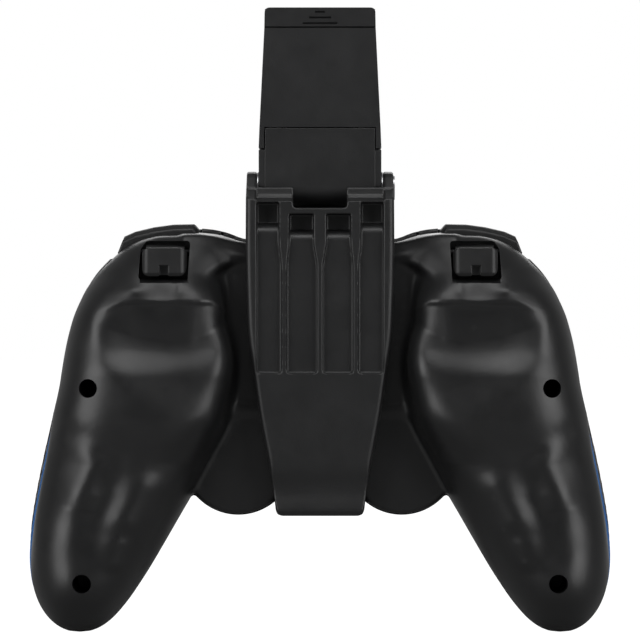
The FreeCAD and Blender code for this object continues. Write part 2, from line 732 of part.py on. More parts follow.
def well_cut(x, z, reach):
    """A screw's well and clearance hole in the back shell."""
    y = well_floor(z)
    well = rod_y(x, z, WELL_RADIUS, -60, y)
    return well.fuse(rod_y(x, z, SCREW_RADIUS + RUNNING_GAP / 2, y - 1, y + WELL_FLOOR + 2))


# The two half shells

def back_shell():
    form = outer_form(BACK_CREST_DROP).common(shut_space(-SHUT_GAP / 2))
    nests = [n.common(form) for n in pair(trigger_nest())]
    hollow = [inner_room()] + pair(lobe_hollow())
    shell = form.cut(hollow)
    shell = shell.fuse(nests)
    cuts = []
    for side in (LEFT, RIGHT):
        openings = (trigger_window(), bumper_pocket(), bumper_pin_hole(), plunger_hole())
        cuts += [mirrored(opening, side) for opening in openings]
        cuts += [mirrored(trim_band(PIN_GAP), side)]
        cuts += [mirrored(well_cut(*w), side) for w in WELLS]
        cuts += [box(side * (CREST_NOTCH_X - CREST_NOTCH / 2), side * (CREST_NOTCH_X + CREST_NOTCH / 2),
                     SHUT_Y - 1.2, 0, CREST[0][1] - 1, 130)]
    shell = shell.cut(cuts)
    posts = []
    for side in (LEFT, RIGHT):
        for x in (SIDE_BOARD_X[0] + 2, SIDE_BOARD_X[1] - 2):
            z, r = WINDOW_Z[0] - NEST_WALL / 2, NEST_WALL / 2 - 0.1
            posts.append(rod_y(side * x, z, r, NEST_FRONT - 0.5, side_board_back() - SEAT_GAP))
    return shell.fuse(posts)


def button_hole(x, z, radius):
    return rod_y(x, z, radius + RUNNING_GAP, FACE_Y - FACE_WALL - 1, POD_FRONT + 20)


def cross(half, arm, y0, y1):
    """A plus sign on the direction pad's centre."""
    x, z = DPAD_X, DPAD_Z
    return joined([box(x - half, x + half, y0, y1, z - arm, z + arm),
                   box(x - arm, x + arm, y0, y1, z - half, z + half)])


def front_shell():
    form = outer_form(0.0).cut(shut_space(SHUT_GAP / 2))
    shell = form.cut([inner_room()] + pair(lobe_hollow()))
    inner_face = FACE_Y - FACE_WALL
    posts = []
    for x, z in POSTS:
        posts += pair(rod_y(x, z, POST_RADIUS, BOARD_Y + BOARD_THICK + SEAT_GAP, inner_face + 0.5))
    shell = shell.fuse(posts)
    cuts = []
    for side in (LEFT, RIGHT):
        cuts += [mirrored(c, side) for c in (bumper_pocket(), bumper_pin_hole(), plunger_hole())]
        cuts.append(mirrored(trim_band(PIN_GAP), side))
        bore = SCREW_RADIUS + PIN_GAP
        cuts += [rod_y(side * x, z, bore, -60, shut_y(z) + reach + 0.5) for x, z, reach in WELLS]
        cuts += [rod_y(side * x, z, bore, -5, BOARD_Y + BOARD_THICK + 5.5) for x, z in POSTS]
        cuts.append(ball(side * POD_X, PIVOT_Y, POD_Z, DOME_RADIUS + RUNNING_GAP))
        cuts.append(rod_y(side * POD_X, POD_Z, STICK_HOLE_RADIUS, PIVOT_Y, POD_FRONT + 5))
        notch = CREST_NOTCH / 2
        x0, x1 = side * (CREST_NOTCH_X - notch), side * (CREST_NOTCH_X + notch)
        cuts.append(box(x0, x1, -2, 4, CREST[0][1] + 0.2, 130))
    cuts.append(cross(DPAD_HALF + DPAD_HOLE_GAP, DPAD_ARM + DPAD_HOLE_GAP, inner_face - 1, FACE_Y + 5))
    cuts += [button_hole(x, z, BUTTON_RADIUS) for x, z in face_button_places()]
    for side in (LEFT, RIGHT):
        cuts.append(menu_plate(side, RUNNING_GAP, inner_face - 1, FACE_Y + 5))
    cuts.append(button_hole(0, HOME_Z, HOME_RADIUS))
    cuts += [led(i, SEAT_GAP, inner_face - 1, FACE_Y + 5) for i in range(LED_COUNT)]
    w, (y0, y1) = USB_HALF_WIDTH + SEAT_GAP, usb_y()
    cuts.append(box(-w, w, y0 - SEAT_GAP, y1 + SEAT_GAP, BOARD_Z[1] - 1, CORE_TOP_Z + 1))
    return shell.cut(cuts)


# Buttons and what lies under them

def face_button_places():
    """Right, bottom, left and top of the diamond, from behind as from the front the right hand's."""
    x, z, s = -DPAD_X, DPAD_Z, BUTTON_SPREAD
    return ((x - s, z), (x, z - s), (x + s, z), (x, z + s))


def face_button(x, z):
    flange = FACE_Y - FACE_WALL - FLANGE_DROP
    cap = rod_y(x, z, BUTTON_RADIUS, flange - FLANGE_THICK, FACE_Y + BUTTON_PROUD)
    cap = rounded(cap, BUTTON_EDGE, lambda e: at_level(e, Y_AXIS, FACE_Y + BUTTON_PROUD))
    ring = rod_y(x, z, BUTTON_RADIUS + BUTTON_FLANGE, flange - FLANGE_THICK, flange)
    foot = rod_y(x, z, BUTTON_FOOT_RADIUS, flange - BUTTON_FOOT, flange)
    return joined([cap, ring, foot])


def membrane_top():
    return BOARD_Y + BOARD_THICK + SEAT_GAP + MEMBRANE


def rubber_dome(x, z):
    base = membrane_top() - 0.2
    return Part.makeCone(DOME_FOOT_RADIUS, DOME_TIP_RADIUS, MEMBRANE_DOME + 0.2, V(x, base, z), Y_AXIS)


def membrane(x, z, spread, hole):
    """A rubber mat with four domes, and a hole through its middle."""
    half = spread + DOME_FOOT_RADIUS + 0.4
    y0 = BOARD_Y + BOARD_THICK + SEAT_GAP
    mat = rod_y(x, z, half, y0, membrane_top())
    turns = [i * math.pi / 2 for i in range(4)]
    domes = [rubber_dome(x + spread * math.cos(a), z + spread * math.sin(a)) for a in turns]
    return joined([mat] + domes).cut(rod_y(x, z, hole, y0 - 1, membrane_top() + 1))


def dpad_ball_y():
    return FACE_Y - FACE_WALL - BALL_DROP


def dpad():
    """A one-piece cross on a round flange, dished on top and hollowed for the ball it rocks on."""
    y1 = FACE_Y + DPAD_PROUD
    flange = FACE_Y - FACE_WALL - DPAD_FLANGE_DROP
    top = cross(DPAD_HALF, DPAD_ARM, flange - FLANGE_THICK, y1)
    top = rounded(top, 0.6, lambda e: at_level(e, Y_AXIS, y1))
    plate = rod_y(DPAD_X, DPAD_Z, DPAD_FLANGE_RADIUS, flange - FLANGE_THICK, flange)
    y = dpad_ball_y()
    dish = ball(DPAD_X, y1 - DPAD_DISH + 20, DPAD_Z, 20)
    socket = ball(DPAD_X, y, DPAD_Z, BALL_RADIUS + BALL_CAP + 2 * PIN_GAP)
    mouth = rod_y(DPAD_X, DPAD_Z, BALL_RADIUS + BALL_CAP + RUNNING_GAP, flange - FLANGE_THICK - 1, y)
    return joined([top, plate]).cut([dish, socket, mouth])


def dpad_cap():
    """The cap between the ball and the pad, which lets the pad rock both ways."""
    y = dpad_ball_y()
    seat = BALL_RADIUS + PIN_GAP
    shell = ball(DPAD_X, y, DPAD_Z, seat + BALL_CAP).cut(ball(DPAD_X, y, DPAD_Z, seat))
    return shell.common(box(DPAD_X - 5, DPAD_X + 5, y + 0.3, y + 10, DPAD_Z - 5, DPAD_Z + 5))


def dpad_post():
    y, y0 = dpad_ball_y(), BOARD_Y + BOARD_THICK + SEAT_GAP
    post = rod_y(DPAD_X, DPAD_Z, BALL_RADIUS, y0, y0 + 2.0)
    neck = rod_y(DPAD_X, DPAD_Z, BALL_NECK, y0, y)
    return joined([post, neck, ball(DPAD_X, y, DPAD_Z, BALL_RADIUS)])


def menu_plate(side, gap, y0, y1):
    w, h = MENU_HALF[0] + gap, MENU_HALF[1] + gap
    x = side * MENU_X
    plate = box(x - w, x + w, y0, y1, MENU_Z - h, MENU_Z + h)
    return rounded(plate, h * 0.95, lambda e: along(e, Y_AXIS))


def menu_button(side):
    flange = FACE_Y - FACE_WALL - FLANGE_DROP
    top = menu_plate(side, 0, flange - BUTTON_FOOT, FACE_Y + MENU_PROUD)
    return joined([top, menu_plate(side, BUTTON_FLANGE, flange - FLANGE_THICK, flange)])


def home_button():
    flange = FACE_Y - FACE_WALL - FLANGE_DROP
    top = rod_y(0, HOME_Z, HOME_RADIUS, flange - BUTTON_FOOT, FACE_Y + MENU_PROUD)
    top = rounded(top, BUTTON_EDGE / 2, lambda e: at_level(e, Y_AXIS, FACE_Y + MENU_PROUD))
    return joined([top, rod_y(0, HOME_Z, HOME_RADIUS + BUTTON_FLANGE, flange - FLANGE_THICK, flange)])


def tact_switch(x, z):
    y0, w = BOARD_Y + BOARD_THICK, SWITCH_HALF
    can = box(x - w, x + w, y0, y0 + SWITCH_HEIGHT * 0.7, z - w, z + w)
    return can.fuse(rod_y(x, z, SWITCH_HALF * 0.5, y0, y0 + SWITCH_HEIGHT))


def led(i, gap, y0, y1):
    x = (i - (LED_COUNT - 1) / 2) * LED_PITCH
    w, h = LED_HALF[0] + gap, LED_HALF[1] + gap
    return box(x - w, x + w, y0, y1, LED_Z - h, LED_Z + h)


def light_pipe():
    inner_face = FACE_Y - FACE_WALL
    half = LED_COUNT / 2 * LED_PITCH
    bar = box(-half, half, inner_face - SEAT_GAP - PIPE_THICK, inner_face - SEAT_GAP, LED_Z - 2, LED_Z + 2)
    return joined([bar] + [led(i, 0, inner_face - 1, FACE_Y - SEAT_GAP) for i in range(LED_COUNT)])


def usb_y():
    y0 = BOARD_Y + BOARD_THICK + SEAT_GAP
    return y0, y0 + USB_THICK


def usb_socket():
    """The metal shell of the charging socket, with the contact tongue inside."""
    y0, y1 = usb_y()
    z1 = CORE_TOP_Z - SEAT_GAP
    x = USB_HALF_WIDTH
    can = rounded(box(-x, x, y0, y1, z1 - USB_DEPTH, z1), USB_THICK * 0.45, lambda e: along(e, Z_AXIS))
    t = USB_SHEET
    mouth = box(-x + t, x - t, y0 + t, y1 - t, z1 - USB_DEPTH + t, z1 + 1)
    mouth = rounded(mouth, USB_THICK * 0.3, lambda e: along(e, Z_AXIS))
    middle = (y0 + y1) / 2
    blade = box(-x * 0.6, x * 0.6, middle - 0.3, middle + 0.3, z1 - USB_DEPTH + 0.1, z1 - 1.2)
    return joined([can.cut(mouth), blade])


def main_board():
    board = plate_y(board_outline(), BOARD_Y, BOARD_Y + BOARD_THICK)
    holes = []
    for x, z in POSTS:
        holes += pair(rod_y(x, z, SCREW_RADIUS + SEAT_GAP, BOARD_Y - 1, BOARD_Y + BOARD_THICK + 1))
    switches = [tact_switch(MENU_X, MENU_Z), tact_switch(-MENU_X, MENU_Z), tact_switch(0, HOME_Z)]
    return joined([board.cut(holes)] + switches)


def battery():
    y0 = MIDDLE_BACK + WALL + SEAT_GAP
    half = BATTERY_WIDE / 2
    cell = box(-half, half, y0, y0 + BATTERY_THICK, BATTERY_LOW_Z, BATTERY_LOW_Z + BATTERY_TALL)
    return rounded(cell, BATTERY_CORNER, lambda e: along(e, Z_AXIS))


def board_screw(x, z):
    seat = BOARD_Y - SEAT_GAP
    head = rod_y(x, z, SCREW_HEAD_RADIUS, seat - 1.2, seat)
    return joined([head, rod_y(x, z, SCREW_RADIUS, seat, BOARD_Y + BOARD_THICK + 5)])


def side_board_back():
    return SHUT_Y - 2.6


def side_board():
    """The small board that carries one trigger's and one shoulder button's switches."""
    y0 = side_board_back()
    board = box(SIDE_BOARD_X[0], SIDE_BOARD_X[1], y0, y0 + SIDE_BOARD_THICK, SIDE_BOARD_Z[0], SIDE_BOARD_Z[1])
    low, high = TRIGGER_TAB[1] - 1.6, SIDE_BOARD_Z[1]
    behind = box(TRIGGER_X - 1.6, TRIGGER_X + 1.6, y0 - SIDE_SWITCH, y0, low - 2, high)
    top = PLUNGER_LOW_Z - 1.0
    ahead = box(PLUNGER_X - 1.6, PLUNGER_X + 1.6, y0 + SIDE_BOARD_THICK, SHUT_Y + 0.7, top - 3, top)
    return joined([board, behind, ahead])


# Thumb sticks

def stick_module(side):
    """The square case of a stick's sensor, open towards the cap."""
    x, z, h = side * POD_X, POD_Z, MODULE_HALF
    y0 = BOARD_Y + BOARD_THICK + SEAT_GAP
    y1 = y0 + MODULE_HEIGHT
    case = box(x - h, x + h, y0, y1, z - h, z + h)
    h = h - MODULE_WALL
    room = box(x - h, x + h, y0 + MODULE_WALL, y1 + 1, z - h, z + h)
    pins = rod_x(PIVOT_Y, z, YOKE_PIN_RADIUS + PIN_GAP, x - MODULE_HALF - 1, x + MODULE_HALF + 1)
    return case.cut([room, pins])


def stick_yoke(side):
    """The ring that tips up and down on two pins in the module's walls."""
    x, z = side * POD_X, POD_Z
    a, b, t = YOKE_HALF_LENGTH, YOKE_HALF_WIDTH, YOKE_THICK / 2
    ring = box(x - a, x + a, PIVOT_Y - t, PIVOT_Y + t, z - b, z + b)
    hole = box(x - a + YOKE_BAR, x + a - YOKE_BAR, PIVOT_Y - t - 1, PIVOT_Y + t + 1,
               z - b + YOKE_BAR, z + b - YOKE_BAR)
    pins = [rod_x(PIVOT_Y, z, YOKE_PIN_RADIUS, x + s * (a - 0.5), x + s * (a + YOKE_PIN)) for s in (1, -1)]
    bores = rod_z(x, PIVOT_Y, HUB_PIN_RADIUS + PIN_GAP, z - b - 1, z + b + 1)
    return joined([ring.cut(hole)] + pins).cut(bores)


def stick_hub(side):
    """The stick's stem with its own cross pins, which tips left and right in the ring."""
    x, z = side * POD_X, POD_Z
    t = HUB_THICK / 2
    block = box(x - HUB_HALF, x + HUB_HALF, PIVOT_Y - t, PIVOT_Y + t, z - HUB_HALF, z + HUB_HALF)
    pin = rod_z(x, PIVOT_Y, HUB_PIN_RADIUS, z - YOKE_HALF_WIDTH + 0.1, z + YOKE_HALF_WIDTH - 0.1)
    stem = rod_y(x, z, STEM_RADIUS, PIVOT_Y, CAP_BOTTOM + 1.4)
    return joined([block, pin, stem])


def stick_cap(side):
    """The dome, neck and hard cap of a stick, pushed onto the stem."""
    x, z = side * POD_X, POD_Z
    angle = math.radians(DOME_ANGLE)
    centre = V(x, PIVOT_Y, z)
    dome = Part.makeSphere(DOME_RADIUS, centre).cut(Part.makeSphere(DOME_RADIUS - DOME_WALL, centre))
    low = PIVOT_Y + (DOME_RADIUS - DOME_WALL / 2) * math.cos(angle)
    dome = dome.common(box(x - 20, x + 20, low, low + 20, z - 20, z + 20))
    neck = rod_y(x, z, NECK_RADIUS, PIVOT_Y + DOME_RADIUS - DOME_WALL - 0.4, CAP_BOTTOM + 1)
    y1 = CAP_BOTTOM + CAP_THICK
    cap = rod_y(x, z, CAP_RADIUS, CAP_BOTTOM, y1)
    cap = rounded(cap, CAP_EDGE, lambda e: isinstance(e.Curve, Part.Circle))
    seat = rod_y(x, z, TOP_RADIUS + SEAT_GAP, y1 - TOP_THICK * 0.5, y1 + 1)
    bore = rod_y(x, z, STEM_RADIUS + PIN_GAP, PIVOT_Y, CAP_BOTTOM + 1.4 + CLICK_TRAVEL + RUNNING_GAP)
    return joined([dome, neck, cap]).cut([seat, bore])


def stick_top(side):
    """The dished rubber disc let into the cap."""
    x, z = side * POD_X, POD_Z
    y0 = CAP_BOTTOM + CAP_THICK - TOP_THICK * 0.5 + SEAT_GAP
    disc = rod_y(x, z, TOP_RADIUS, y0, y0 + TOP_THICK)
    disc = rounded(disc, TOP_THICK * 0.4, lambda e: at_level(e, Y_AXIS, y0 + TOP_THICK))
    return disc.cut(ball(x, y0 + TOP_THICK - TOP_DISH + 30, z, 30))


# Clip band

def band_side(offset):
    """The case's middle in side view, moved outward by offset."""
    back, top_back = CORE_BACK - offset, CORE_TOP_BACK - offset
    low, top, front = CORE_LOW_Z - offset, CORE_TOP_Z + offset, FACE_Y + offset
    return back, top_back, low, top, front


def clip_band():
    """The strap that hooks over the case's top and bottom edges and carries the phone arm's hinge."""
    back0, top_back0, low0, top0, front0 = band_side(BAND_GAP)
    back1 = back0 - BAND_WALL
    low1 = BAND_OUTLINE[0][1]
    top1 = top0 + BAND_WALL
    front1 = front0 + BAND_LIP
    inside = [(back0, low0), (back0, CORE_SHOULDER_Z), (top_back0, top0), (front0, top0), (front0, low0)]
    outside = [(back1, low1), (back1, BAR_TOP_Z), (BAR_FRONT, BAR_TOP_Z), (BAR_FRONT, top1),
               (front1, top1), (front1, low1)]
    reach = BAND_OUTLINE[-1][0] + 5
    strap = plate_x(outside, -reach, reach)
    strap = rounded(strap, BAND_CORNER, lambda e: along(e, X_AXIS) and e.Vertexes[0].Z < low1 + 1)
    strap = strap.cut(plate_x(inside, -reach, reach))
    strap = strap.cut(box(-reach, reach, front0 - 1, front1 + 1, BAND_HOOK_Z, BAND_TOP_LIP_Z))
    hook_low = CORE_LOW_Z - BAND_GAP
    for side in (LEFT, RIGHT):
        x0, x1 = side * BAND_HOOK_HALF, side * reach
        strap = strap.cut(box(x0, x1, front0 - 1, front1 + 1, 0, BAND_HOOK_Z + 1))
        strap = strap.cut(rod_y(side * POD_X, POD_Z, POD_RADIUS + RUNNING_GAP, POD_BACK - 1, front1 + 1))
    outline = list(BAND_OUTLINE)
    outline[-1] = (BAND_OUTLINE[-1][0], CHEEK_TOP_Z)
    face = plate_y(both_sides(outline), back1 - 1, front1 + 1)
    face = rounded(face, BAND_CORNER, lambda e: along(e, Y_AXIS) and e.Vertexes[0].Z < low1 + 1)
    parts = [strap.common(face)]
    for side in (LEFT, RIGHT):
        parts.append(cheek(side, back1, top0))
    band = joined(parts)
    cuts = band_cuts(back1, back0)
    return band.cut(cuts).removeSplitter()


def cheek(side, back, low):
    """One upright that holds an end of the hinge pin."""
    x0, x1 = side * CHEEK_INNER_X, side * BAND_OUTLINE[-1][0]
    y, z, r = HINGE_Y, HINGE_Z, HINGE_LUG_RADIUS
    slant = [(back, low), (back, BAR_TOP_Z), (y - r * 0.8, z + r * 0.6),
             ("arc", (y, z + r), (y + r * 0.8, z + r * 0.6)),
             (CHEEK_FRONT, low + BAND_WALL), (CHEEK_FRONT, low)]
    return plate_x(slant, x0, x1)


def band_cuts(back1, back0):
    """Channels, pockets, window, the plug's opening and the hinge pin's bore."""
    cuts = []
    floor, end, bend = back1 + CHANNEL_DEPTH, BAR_FRONT - POCKET_WALL, POCKET_BEND
    for x0, x1, z0, z1 in CHANNELS:
        slant = bend * math.sqrt(0.5)
        turn = ("arc", (floor + bend - slant, z0 - bend + slant), (floor + bend, z0))
        groove = [(back1 - 1, CHANNEL_LOW_Z), (floor, CHANNEL_LOW_Z), (floor, z0 - bend), turn,
                  (end, z0), (end, z1), (back1 - 1, z1)]
        slot = plate_x(groove, x0, x1)
        slot = rounded(slot, CHANNEL_END, lambda e: along(e, Y_AXIS) and e.Vertexes[0].Z < CHANNEL_LOW_Z + 1)
        cuts += pair(slot)
    window = box(-NOTCH_HALF, NOTCH_HALF, back1 - 1, BAR_FRONT + 1, NOTCH_Z, BAR_TOP_Z + 10)
    cuts.append(rounded(window, NOTCH_CORNER, lambda e: along(e, Y_AXIS) and e.Vertexes[0].Z < NOTCH_Z + 1))
    y = (usb_y()[0] + usb_y()[1]) / 2
    w, t = PLUG_HALF
    cuts.append(box(-w, w, y - t, y + t, CORE_TOP_Z - 2, CORE_TOP_Z + 12))
    outer = BAND_OUTLINE[-1][0]
    cuts.append(rod_x(HINGE_Y, HINGE_Z, HINGE_PIN_RADIUS + PIN_GAP, -outer - 1, outer + 1))
    head = HINGE_HEAD - HINGE_HEAD_PROUD
    cuts.append(rod_x(HINGE_Y, HINGE_Z, HINGE_HEAD_RADIUS + SEAT_GAP, outer - head - SEAT_GAP, outer + 2))
    return cuts


def hinge_pin():
    outer = BAND_OUTLINE[-1][0]
    head_x = outer - HINGE_HEAD + HINGE_HEAD_PROUD
    shaft = rod_x(HINGE_Y, HINGE_Z, HINGE_PIN_RADIUS, -outer + 0.2, head_x)
    return joined([shaft, rod_x(HINGE_Y, HINGE_Z, HINGE_HEAD_RADIUS, head_x, head_x + HINGE_HEAD)])


def hinge_washer(side):
    x0 = side * (CHEEK_INNER_X - PIN_GAP - WASHER)
    x1 = side * (CHEEK_INNER_X - PIN_GAP)
    ring = rod_x(HINGE_Y, HINGE_Z, WASHER_RADIUS, x0, x1)
    return ring.cut(rod_x(HINGE_Y, HINGE_Z, HINGE_PIN_RADIUS + PIN_GAP, x0 - 1 * side, x1 + 1 * side))


# Phone arm

def blade_y():
    middle = (ARM_BACK + ARM_FRONT) / 2
    return middle - BLADE_THICK / 2, middle + BLADE_THICK / 2


def sleeve_top():
    return JAW_STEP_Z - SLEEVE_END


def barrel_radius():
    """The foot's back curves under round the hinge in one sweep."""
    return HINGE_Y - ARM_BACK


def arm_base():
    """The hinged foot of the phone arm, with its ears, its blade and the ledge under the phone."""
    y, z = HINGE_Y, HINGE_Z
    panel = [(ARM_BACK, z), (ARM_BACK, PANEL_TOP_Z), (ARM_FRONT, PANEL_TOP_Z), (ARM_FRONT, z)]
    body = plate_x(panel, -PANEL_HALF, PANEL_HALF)
    barrel = rod_x(y, z, barrel_radius(), -PANEL_HALF, PANEL_HALF)
    ear_x = CHEEK_INNER_X - 2 * PIN_GAP - WASHER
    ears = []
    for side in (LEFT, RIGHT):
        lug = rod_x(y, z, HINGE_LUG_RADIUS, side * (PANEL_HALF - 1), side * ear_x)
        upright = box(side * (PANEL_HALF - 1), side * ear_x, ARM_BACK + ARM_GROOVE, ARM_FRONT, z, EAR_TOP_Z)
        ears += [lug, upright]
    y0, y1 = blade_y()
    blade = box(-BLADE_HALF, BLADE_HALF, y0, y1, PANEL_TOP_Z - 1, sleeve_top() - BLADE_END)
    low, high = LEDGE_Z
    heel, r = LEDGE_HEEL_Z, barrel_radius()
    ledge = [(y, heel), (y + r, heel), (y + 2 * r, low), (LEDGE_FRONT - 1, low), (LEDGE_FRONT, low + 1),
             (LEDGE_FRONT, high + HOOK_HEIGHT), (LEDGE_FRONT - HOOK_THICK, high + HOOK_HEIGHT),
             (LEDGE_FRONT - HOOK_THICK, high), (y, high)]
    shelf = plate_x(ledge, -PANEL_HALF, PANEL_HALF)
    bore = rod_x(y, z, HINGE_PIN_RADIUS + PIN_GAP, -20, 20)
    return joined([body, barrel, blade, shelf] + ears).cut(bore)


def lower_pad():
    y1 = LEDGE_FRONT - HOOK_THICK - SEAT_GAP
    z0 = LEDGE_Z[1] + SEAT_GAP
    return box(-PANEL_HALF + 1, PANEL_HALF - 1, HINGE_Y + barrel_radius() + PAD_MARGIN, y1, z0, z0 + JAW_PAD)


def rest_pad():
    y0 = ARM_FRONT + SEAT_GAP
    pad = box(-REST_PAD_HALF, REST_PAD_HALF, y0, y0 + JAW_PAD, REST_PAD_Z[0], REST_PAD_Z[1])
    return rounded(pad, 1.5, lambda e: along(e, Y_AXIS))


def sleeve_size(gap):
    """Half width, back and front of the sleeve that runs on the blade."""
    y0, y1 = blade_y()
    grow = SLIDE_GAP + SLEEVE_WALL + gap
    return BLADE_HALF + grow, y0 - grow, y1 + grow


def slide_sleeve():
    half, y0, y1 = sleeve_size(0)
    tube = box(-half, half, y0, y1, PANEL_TOP_Z + RUNNING_GAP, sleeve_top())
    b0, b1 = blade_y()
    slot = box(-BLADE_HALF - SLIDE_GAP, BLADE_HALF + SLIDE_GAP, b0 - SLIDE_GAP, b1 + SLIDE_GAP,
               PANEL_TOP_Z - 1, sleeve_top() + 1)
    return tube.cut(slot)


def phone_jaw():
    """The sliding cover with rails beside the base, the upper lip and the raised pull marks."""
    body = plate_y(both_sides(JAW_OUTLINE), ARM_BACK, ARM_FRONT)
    top_z = JAW_OUTLINE[-1][1]
    body = rounded(body, JAW_CORNER, lambda e: along(e, Y_AXIS) and e.Vertexes[0].Z > top_z - 0.1)
    body = body.cut(box(-20, 20, ARM_BACK - 1, ARM_BACK + JAW_STEP, JAW_STEP_Z, top_z + 1))
    half, front = JAW_OUTLINE[-1][0], LEDGE_FRONT
    back, low = front - HOOK_THICK, JAW_LIP_Z - HOOK_HEIGHT
    lip = [(HINGE_Y, JAW_LIP_Z), (back, JAW_LIP_Z), (back, low), (front, low), (front, top_z - 1),
           (front - 1, top_z), (HINGE_Y, top_z)]
    jaw = joined([body, plate_x(lip, -half, half)])
    w = PANEL_HALF + SLIDE_GAP
    cuts = [box(-w, w, ARM_BACK - 1, ARM_FRONT + 1, 120, PANEL_TOP_Z + RUNNING_GAP)]
    w, y0, y1 = sleeve_size(SLIDE_GAP)
    cuts.append(box(-w, w, y0, y1, 120, sleeve_top() + RUNNING_GAP))
    bars = []
    step = ARM_BACK + JAW_STEP
    for half_length, z in GRIP_BARS:
        bars.append(box(-half_length, half_length, step - GRIP_BAR, ARM_BACK + 1, z + 0.6, z + 1.1))
    return joined([jaw.cut(cuts)] + bars)


def upper_pad():
    y1 = LEDGE_FRONT - HOOK_THICK - SEAT_GAP
    z1 = JAW_LIP_Z - SEAT_GAP
    return box(-PANEL_HALF + 1, PANEL_HALF - 1, ARM_FRONT + PAD_MARGIN, y1, z1 - JAW_PAD, z1)


def build():
    os.makedirs("parts", exist_ok=True)
    export("back_shell", back_shell())
    export("front_shell", front_shell())
    for name, side in SIDES:
        own = lobe().common(trim_band(0))
        export(name + "_trim", mirrored(own, side))
        export(name + "_bumper", mirrored(bumper(), side))
        export(name + "_bumper_pin", mirrored(bumper_pin(), side))
        export(name + "_trigger", mirrored(trigger(), side))
        export(name + "_trigger_pin", mirrored(trigger_pin(), side))
        export(name + "_side_board", mirrored(side_board(), side))
        export(name + "_stick_module", stick_module(side))
        export(name + "_stick_yoke", stick_yoke(side))
        export(name + "_stick_hub", stick_hub(side))
        export(name + "_stick_cap", stick_cap(side))
        export(name + "_stick_top", stick_top(side))
        export(name + "_hinge_washer", hinge_washer(side))
    export("dpad", dpad())
    export("dpad_cap", dpad_cap())
    export("dpad_post", dpad_post())
    export("dpad_membrane", membrane(DPAD_X, DPAD_Z, PAD_SPREAD, BALL_RADIUS + RUNNING_GAP))
    for number, (x, z) in enumerate(face_button_places(), 1):
        export("face_button_%d" % number, face_button(x, z))
    export("button_membrane", membrane(-DPAD_X, DPAD_Z, BUTTON_SPREAD, BALL_RADIUS))
    export("select_button", menu_button(LEFT))
    export("start_button", menu_button(RIGHT))
    export("home_button", home_button())
    export("main_board", main_board())
    export("light_pipe", light_pipe())
    export("usb_socket", usb_socket())
    export("battery", battery())
    export("case_screws", Part.makeCompound([s for w in WELLS for s in pair(case_screw(*w))]))
    export("board_screws", Part.makeCompound([s for p in POSTS for s in pair(board_screw(*p))]))
    export("clip_band", clip_band())
    export("hinge_pin", hinge_pin())
    export("arm_base", arm_base())
    export("lower_pad", lower_pad())
    export("rest_pad", rest_pad())
    export("slide_sleeve", slide_sleeve())
    export("phone_jaw", phone_jaw())
    export("upper_pad", upper_pad())


build()
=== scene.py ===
"""Looks of the gamepad: smooth moulded shells, clip, holder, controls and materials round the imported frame.

Sizes are in millimetres until a mesh is made.  +X is the player's left, +Y the face, +Z up.
"""

import json
import math

import bmesh
import bpy
import numpy as np
import openvdb
from mathutils import Matrix, Vector


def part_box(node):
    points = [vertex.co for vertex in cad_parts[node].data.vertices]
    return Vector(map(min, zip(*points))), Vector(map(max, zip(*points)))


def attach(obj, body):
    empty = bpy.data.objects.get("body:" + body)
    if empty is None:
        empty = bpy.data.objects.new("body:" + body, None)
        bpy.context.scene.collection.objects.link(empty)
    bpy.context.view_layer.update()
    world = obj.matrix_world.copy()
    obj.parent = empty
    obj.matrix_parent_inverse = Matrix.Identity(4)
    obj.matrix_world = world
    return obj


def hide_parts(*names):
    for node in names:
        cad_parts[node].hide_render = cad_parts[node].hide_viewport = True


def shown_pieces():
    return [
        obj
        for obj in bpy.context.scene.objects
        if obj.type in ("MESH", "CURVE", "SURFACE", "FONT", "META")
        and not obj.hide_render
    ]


MM = 0.001
LEFT, RIGHT = 1, -1
SIDES = (("left", LEFT), ("right", RIGHT))

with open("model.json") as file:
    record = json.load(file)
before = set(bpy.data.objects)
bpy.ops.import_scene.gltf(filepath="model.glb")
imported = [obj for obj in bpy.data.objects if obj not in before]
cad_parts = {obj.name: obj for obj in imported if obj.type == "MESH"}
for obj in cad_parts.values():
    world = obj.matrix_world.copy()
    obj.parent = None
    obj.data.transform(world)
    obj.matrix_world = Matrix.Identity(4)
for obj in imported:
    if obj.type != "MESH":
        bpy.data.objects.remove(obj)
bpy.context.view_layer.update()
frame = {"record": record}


# The photograph

PHOTO_PIXELS = 640
PIXEL = 0.268  # one pixel of the photograph at the case's shut line
TIP_ROW = 627  # the photograph's row of the grip tips
CAMERA_AWAY = 900.0


# Sizes shared with the frame

SHUT_Y = -1.0
SHUT_TOP_Z = 62.0
SHUT_TIP_Y = -13.0
SHUT_BEND = (0.26, 0.48)  # a third point of the shut line's arc, as shares of its depth and height
FACE_Y = 13.5
WELLS = ((60.6, 64.4), (62.0, 13.6))
WELL_RADIUS = 2.45
POD = (21.8, 45.6)
POD_RADIUS = 15.3
POD_Y = (-9.0, 15.0)
POD_STEP = 0.55  # how much smaller the pods' backs are than their fronts
POD_ROOM = (12.9, -6.8, 12.6)
PIVOT_Y = 5.5
DPAD = (45.5, 76.0)
BUTTON_SPREAD = 9.0
HINGE = (-3.5, 117.6)
VOXEL = 0.5
FAR = 100.0  # farther than the whole case reaches on any side


# Mesh helpers

def linked(obj):
    bpy.context.scene.collection.objects.link(obj)
    return obj


def new_object(name, verts, faces):
    """An object from points in millimetres."""
    mesh = bpy.data.meshes.new(name)
    mesh.from_pydata([tuple(v) for v in np.asarray(verts, dtype=float) * MM], [], [tuple(f) for f in faces])
    mesh.validate()
    mesh.update()
    return linked(bpy.data.objects.new(name, mesh))


def place(obj, body, *nodes):
    """obj rides on a body and stands for CAD nodes."""
    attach(obj, body)
    if nodes:
        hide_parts(*nodes)
    return obj


